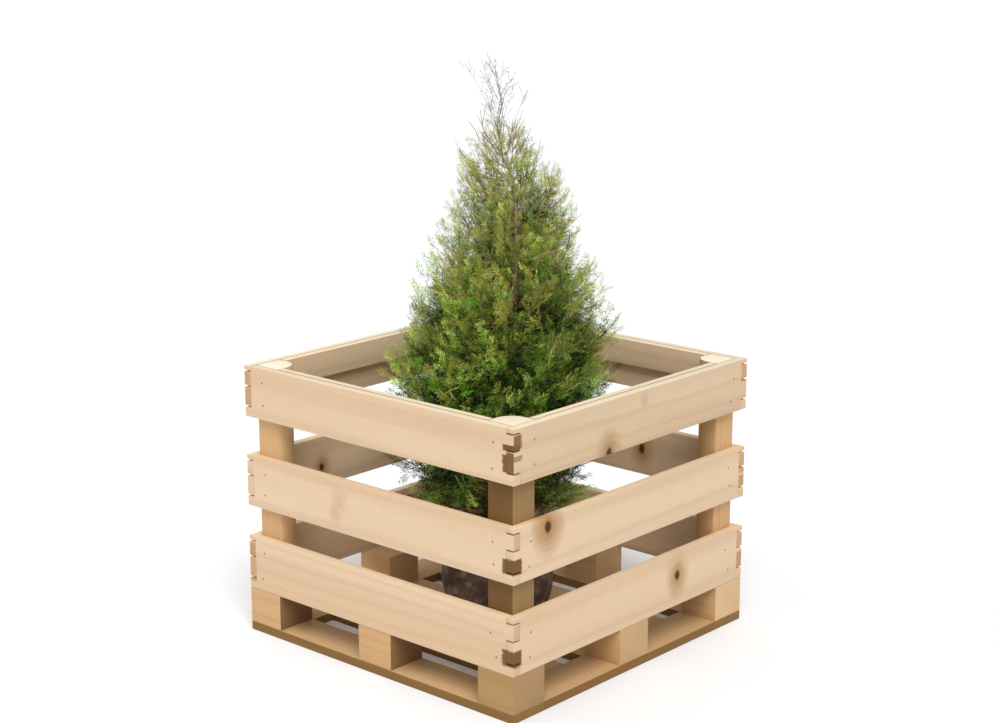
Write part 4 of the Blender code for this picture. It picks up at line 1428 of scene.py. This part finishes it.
# The tone of each spray: painted shade inside and below, olive and ochre towards the top.
def sprayTones(rows, rng):
    count = len(rows)
    tips = sprayTips(rows, 0.6)
    heights, distances, bearings = crownPlace(tips)
    outer = np.clip(distances / np.maximum(crownReach(heights, bearings), 0.02), 0.0, 1.1)
    high = progress(heights, *crown["leafySpan"])
    clumps = np.array([clusters(place) for place in tips])
    # Sprays further in are painted darker, as shade falls inside the crown.
    value = toneWeights["outer"] * outer + toneWeights["high"] * high + toneWeights["plume"] * rows[:, 10]
    value += toneWeights["clumps"] * np.clip(1.05 - high, 0.1, 1.0) * clumps
    value += toneWeights["chance"] * rng.uniform(size=count) + toneWeights["least"]
    # Painted shade on the sprays low in the crown, near the rim of the crate.
    value -= toneWeights["shadedFoot"] * progress(0.56 - heights, 0.0, 0.12)
    tones = np.clip(value, 0.0, 4.0).astype(int)
    # Patches of a fuller green low down.
    patches = np.array([clusters(place, 5.0) for place in tips])
    edge = 0.60 * np.clip(high - 0.2, 0.0, 1.0)
    grass = (patches + 0.22 * rng.normal(size=count) > edge) & (tones > 1)
    tones[grass] = np.where(tones[grass] > 3, 9, 8)
    yellow = progress(high, 0.22, 0.55)
    for tone, share in ((5, 0.02 + 0.66 * yellow), (6, 0.12)):
        tones[(rng.uniform(size=count) < share) & (tones > 1)] = tone
    tones[rng.uniform(size=count) < 0.10 * yellow] = 7
    # Duller ones among the last sprays under the leader.
    dull = (rng.uniform(size=count) < 1.5 * (high - 0.72)) & (tones > 1)
    tones[dull] = rng.choice((5, 10, 11), int(dull.sum()))
    return tones


# Bark, the trunk and its boughs

bark = {
    "light": (0.200, 0.105, 0.060),
    "dark": (0.055, 0.028, 0.018),
    "tan": (0.860, 0.690, 0.450),
    "worn": (0.30, 0.25, 0.19),
    "lowTwigs": ((0.120, 0.075, 0.040), (0.045, 0.028, 0.015)),
    "highTwigs": ((0.440, 0.330, 0.130), (0.200, 0.135, 0.055)),
    "stretch": (1.0, 1.0, 0.16),
    "roughness": 0.85,
    "sides": 28,
    "rings": 260,
    "relief": 0.10,
    "ridge": 0.10,
    "boughRadius": (0.0048, 0.0030),
    "boughRoughness": 0.0005,
}


# Bark in strips, worn pale in patches. The trunk's turns tan towards the top.
def makeBark(name, light, dark, scale, tan=None):
    finish, tree, shader = newMaterial(name, bark["roughness"])
    place = ownPlace(tree)
    strips = speckle(tree, vectorMaths(tree, "MULTIPLY", place, bark["stretch"]), scale, 5.0, 0.65)
    pale = tuple(value * 1.35 for value in light)
    colour = ramp(tree, strips, ((0.36, dark), (0.52, light), (0.70, pale)))
    worn = ramp(tree, speckle(tree, place, 28.0, 3.0), ((0.50, 0.0), (0.72, 0.5)))
    colour = mixColour(tree, worn, colour, bark["worn"])
    if tan:
        height = addNode(tree, "ShaderNodeSeparateXYZ", {0: place}).outputs["Z"]
        colour = mixColour(tree, remap(tree, height, 0.60, 0.76, 0.0, 0.88), colour, tan)
    finishMaterial(tree, shader, colour, strips, 0.8, 0.0012)
    return finish


def makeTrunk(finish):
    heights = np.linspace(plant["trunkFoot"], plant["trunkTop"] + 0.002, bark["rings"])
    points = []
    for height, middle, width in zip(heights, trunkLine(heights), trunkWidth(heights)):
        fade = math.exp(-(height - plant["trunkFoot"]) / plant["flareHeight"])
        for side in range(bark["sides"]):
            turn = 2 * math.pi * side / bark["sides"]
            strip = noise.noise(Vector(ringPoint(3.2, turn, height * 14)))
            fine = noise.noise(Vector(ringPoint(7.5, turn, height * 42)))
            ridge = bark["ridge"] * fade * math.sin(3 * turn)
            reach = width * (1 + ridge + bark["relief"] * (0.7 * strip + 0.5 * fine))
            points.append(middle + ringPoint(reach, turn, 0.0))
    quads = ringQuads(len(heights), bark["sides"])
    trunk = meshFromArrays("trunk_bark", np.array(points), [quads], [finish])

    limbs = []
    for tier, (_, _, sectors, _, bough, _, _) in enumerate(tiers):
        for sector in range(sectors if bough else 0):
            path = limbPoints(tier, massBearing(tier, sector), 0.006, bough + 0.004, 16)
            rough = [noise.noise(Vector(point) * 120) * bark["boughRoughness"] for point in path]
            limbs.append((path, np.linspace(*bark["boughRadius"], len(path)) + np.array(rough)))
    piece = joinPieces("trunk_bark", [trunk, tubePiece("boughs", limbs, 12, finish)])
    finishPiece(piece, ["trunk"] + [node for node in nodes if node.startswith("bough_")])


def makeCrown():
    shapeRng = random.Random(41)
    shapes = [sprayShape(shapeRng) for _ in range(spray["kinds"])]
    finishes = [makeLeafFinish(name, colour) for name, colour in leafTones.items()]
    darkTwigs = makeBark("twig_bark_low", *bark["lowTwigs"], 260.0)
    paleTwigs = makeBark("twig_bark_high", *bark["highTwigs"], 260.0)
    makeTrunk(makeBark("trunk_bark", bark["light"], bark["dark"], 210.0, bark["tan"]))
    total = 0
    for tier, (name, _, sectors, _, _, _, _) in enumerate(tiers):
        rng = np.random.default_rng(700 + tier)
        grown = [growMass(tier, sector, rng) for sector in range(sectors)]
        limbs = [limb for massLimbs, _ in grown for limb in massLimbs]
        rows = fitSprays(np.concatenate([massRows for _, massRows in grown]), rng)
        colours = sprayTones(rows, rng)
        kinds = rng.integers(0, len(shapes), len(rows))
        points, owners, parts = sprayPoints(shapes, kinds, rows)
        leaves = np.arange(len(points)).reshape(-1, 4)
        leafColours = np.array(toneSteps)[colours[owners], parts]
        sprays = meshFromArrays("sprays_" + name, points, [leaves], finishes, leafColours, smooth=False)
        finishPiece(sprays, [node for node in nodes if node.startswith("foliage_" + name)])
        twigs = tubePiece("twigs_" + name, limbs, 4, darkTwigs if tier < 3 else paleTwigs)
        finishPiece(twigs, [])
        total += 2 * (len(leaves) + len(twigs.data.polygons))
        print("tier grown:", name, len(rows), "sprays", len(limbs), "limbs")
    print("crown triangles:", total)


makeCrown()


# The bare leader, its side twigs and buds

leader = {
    "whips": (  # height of the root, way it leans seen from above, its rise, its length
        (1.070, 3.95, 1.37, 0.215), (1.078, 0.60, 1.44, 0.150), (1.094, 2.30, 1.36, 0.130),
        (1.100, 5.30, 1.38, 0.135), (1.122, 4.25, 1.30, 0.110), (1.128, 1.60, 1.34, 0.100),
        (1.136, 0.10, 1.26, 0.080), (1.150, 3.60, 1.20, 0.130), (1.158, 5.60, 1.30, 0.090),
        (1.172, 0.75, 1.20, 0.072), (1.184, 2.20, 1.25, 0.080), (1.196, 3.80, 1.16, 0.088),
        (1.205, 5.00, 1.18, 0.070), (1.222, 1.10, 1.15, 0.058), (1.236, 3.30, 1.12, 0.055),
        (1.250, 0.20, 1.08, 0.040), (1.264, 4.20, 1.02, 0.034), (1.280, 1.80, 0.95, 0.022),
    ),
    "whipRadius": (0.00068, 0.00026),
    "whipSteps": 11,
    "kinks": 0.0010,
    "bend": 0.13,
    "forkPitch": 0.012,
    "forkLength": (0.010, 0.026),
    "forkRadius": (0.00045, 0.00028),
    "tipRadius": 0.00045,
    "budLength": 0.0046,
    "budRadii": (0.0004, 0.0007, 0.0008, 0.0006, 0.0002),
    "bark": ((0.400, 0.365, 0.300), (0.240, 0.215, 0.175)),
    "buds": ((0.370, 0.350, 0.230), (0.220, 0.200, 0.130)),
}


def makeLeader():
    rng = np.random.default_rng(59)
    finish = makeBark("leader_bark", *leader["bark"], 420.0)
    budFinish = makeBark("bud_scales", *leader["buds"], 500.0)
    path = trunkLine(np.linspace(plant["trunkTop"] - 0.004, plant["top"], 44))
    limbs = [(path, np.linspace(plant["tipRadius"] * 0.75, leader["tipRadius"], len(path)))]
    buds = []
    count = leader["whipSteps"]
    steps = np.linspace(0.0, 1.0, count)[:, None]
    for height, bearing, rise, length in leader["whips"]:
        out = np.array(ringPoint(1.0, bearing, 0.0))
        way = out * math.cos(rise) + upward * math.sin(rise)
        kinks = np.cumsum(rng.normal(0.0, leader["kinks"], (count, 3)), axis=0) * (steps > 0)
        bend = rng.normal(0.0, leader["bend"], 3) * length * steps ** 2
        twig = trunkLine(height) + way * length * steps + bend + kinks
        limbs.append((twig, np.linspace(*leader["whipRadius"], count)))
        buds.append((twig[-1], unit(twig[-1] - twig[-2])))
        for _ in range(int(length / leader["forkPitch"])):
            start = twig[int(rng.integers(2, count - 1))]
            spin = rng.uniform(0.0, 2 * math.pi)
            level = np.cross(way, out)
            side = level * math.sin(spin) + np.cross(way, level) * math.cos(spin)
            heading = unit(way + unit(side) * rng.uniform(0.4, 0.9))
            size = rng.uniform(*leader["forkLength"])
            branch = start + heading * size * np.linspace(0.0, 1.0, 4)[:, None]
            branch += rng.normal(0.0, 0.0006, (4, 3)) * np.array([[0], [1], [1], [1]])
            limbs.append((branch, np.linspace(*leader["forkRadius"], 4)))
            buds.append((branch[-1], heading))
            if rng.uniform() < 0.5:
                buds.append((branch[2], unit(heading + upward * 0.6)))
    for path, _ in limbs:
        path[:, 2] = np.minimum(path[:, 2], plant["top"] - 0.001)
    twigs = tubePiece("twigs", limbs, 5, finish)

    steps = np.linspace(0.0, 1.0, len(leader["budRadii"]))[:, None]
    scales = [
        (place + way * leader["budLength"] * steps, np.array(leader["budRadii"]) * rng.uniform(0.7, 1.1))
        for place, way in buds if place[2] <= plant["top"] - 0.012
    ]
    piece = joinPieces("leader_bark_and_buds", [twigs, tubePiece("buds", scales, 5, budFinish)])
    finishPiece(piece, ["leader_twigs"])
    print("leader made:", len(limbs), "twigs", len(buds), "buds")


makeLeader()
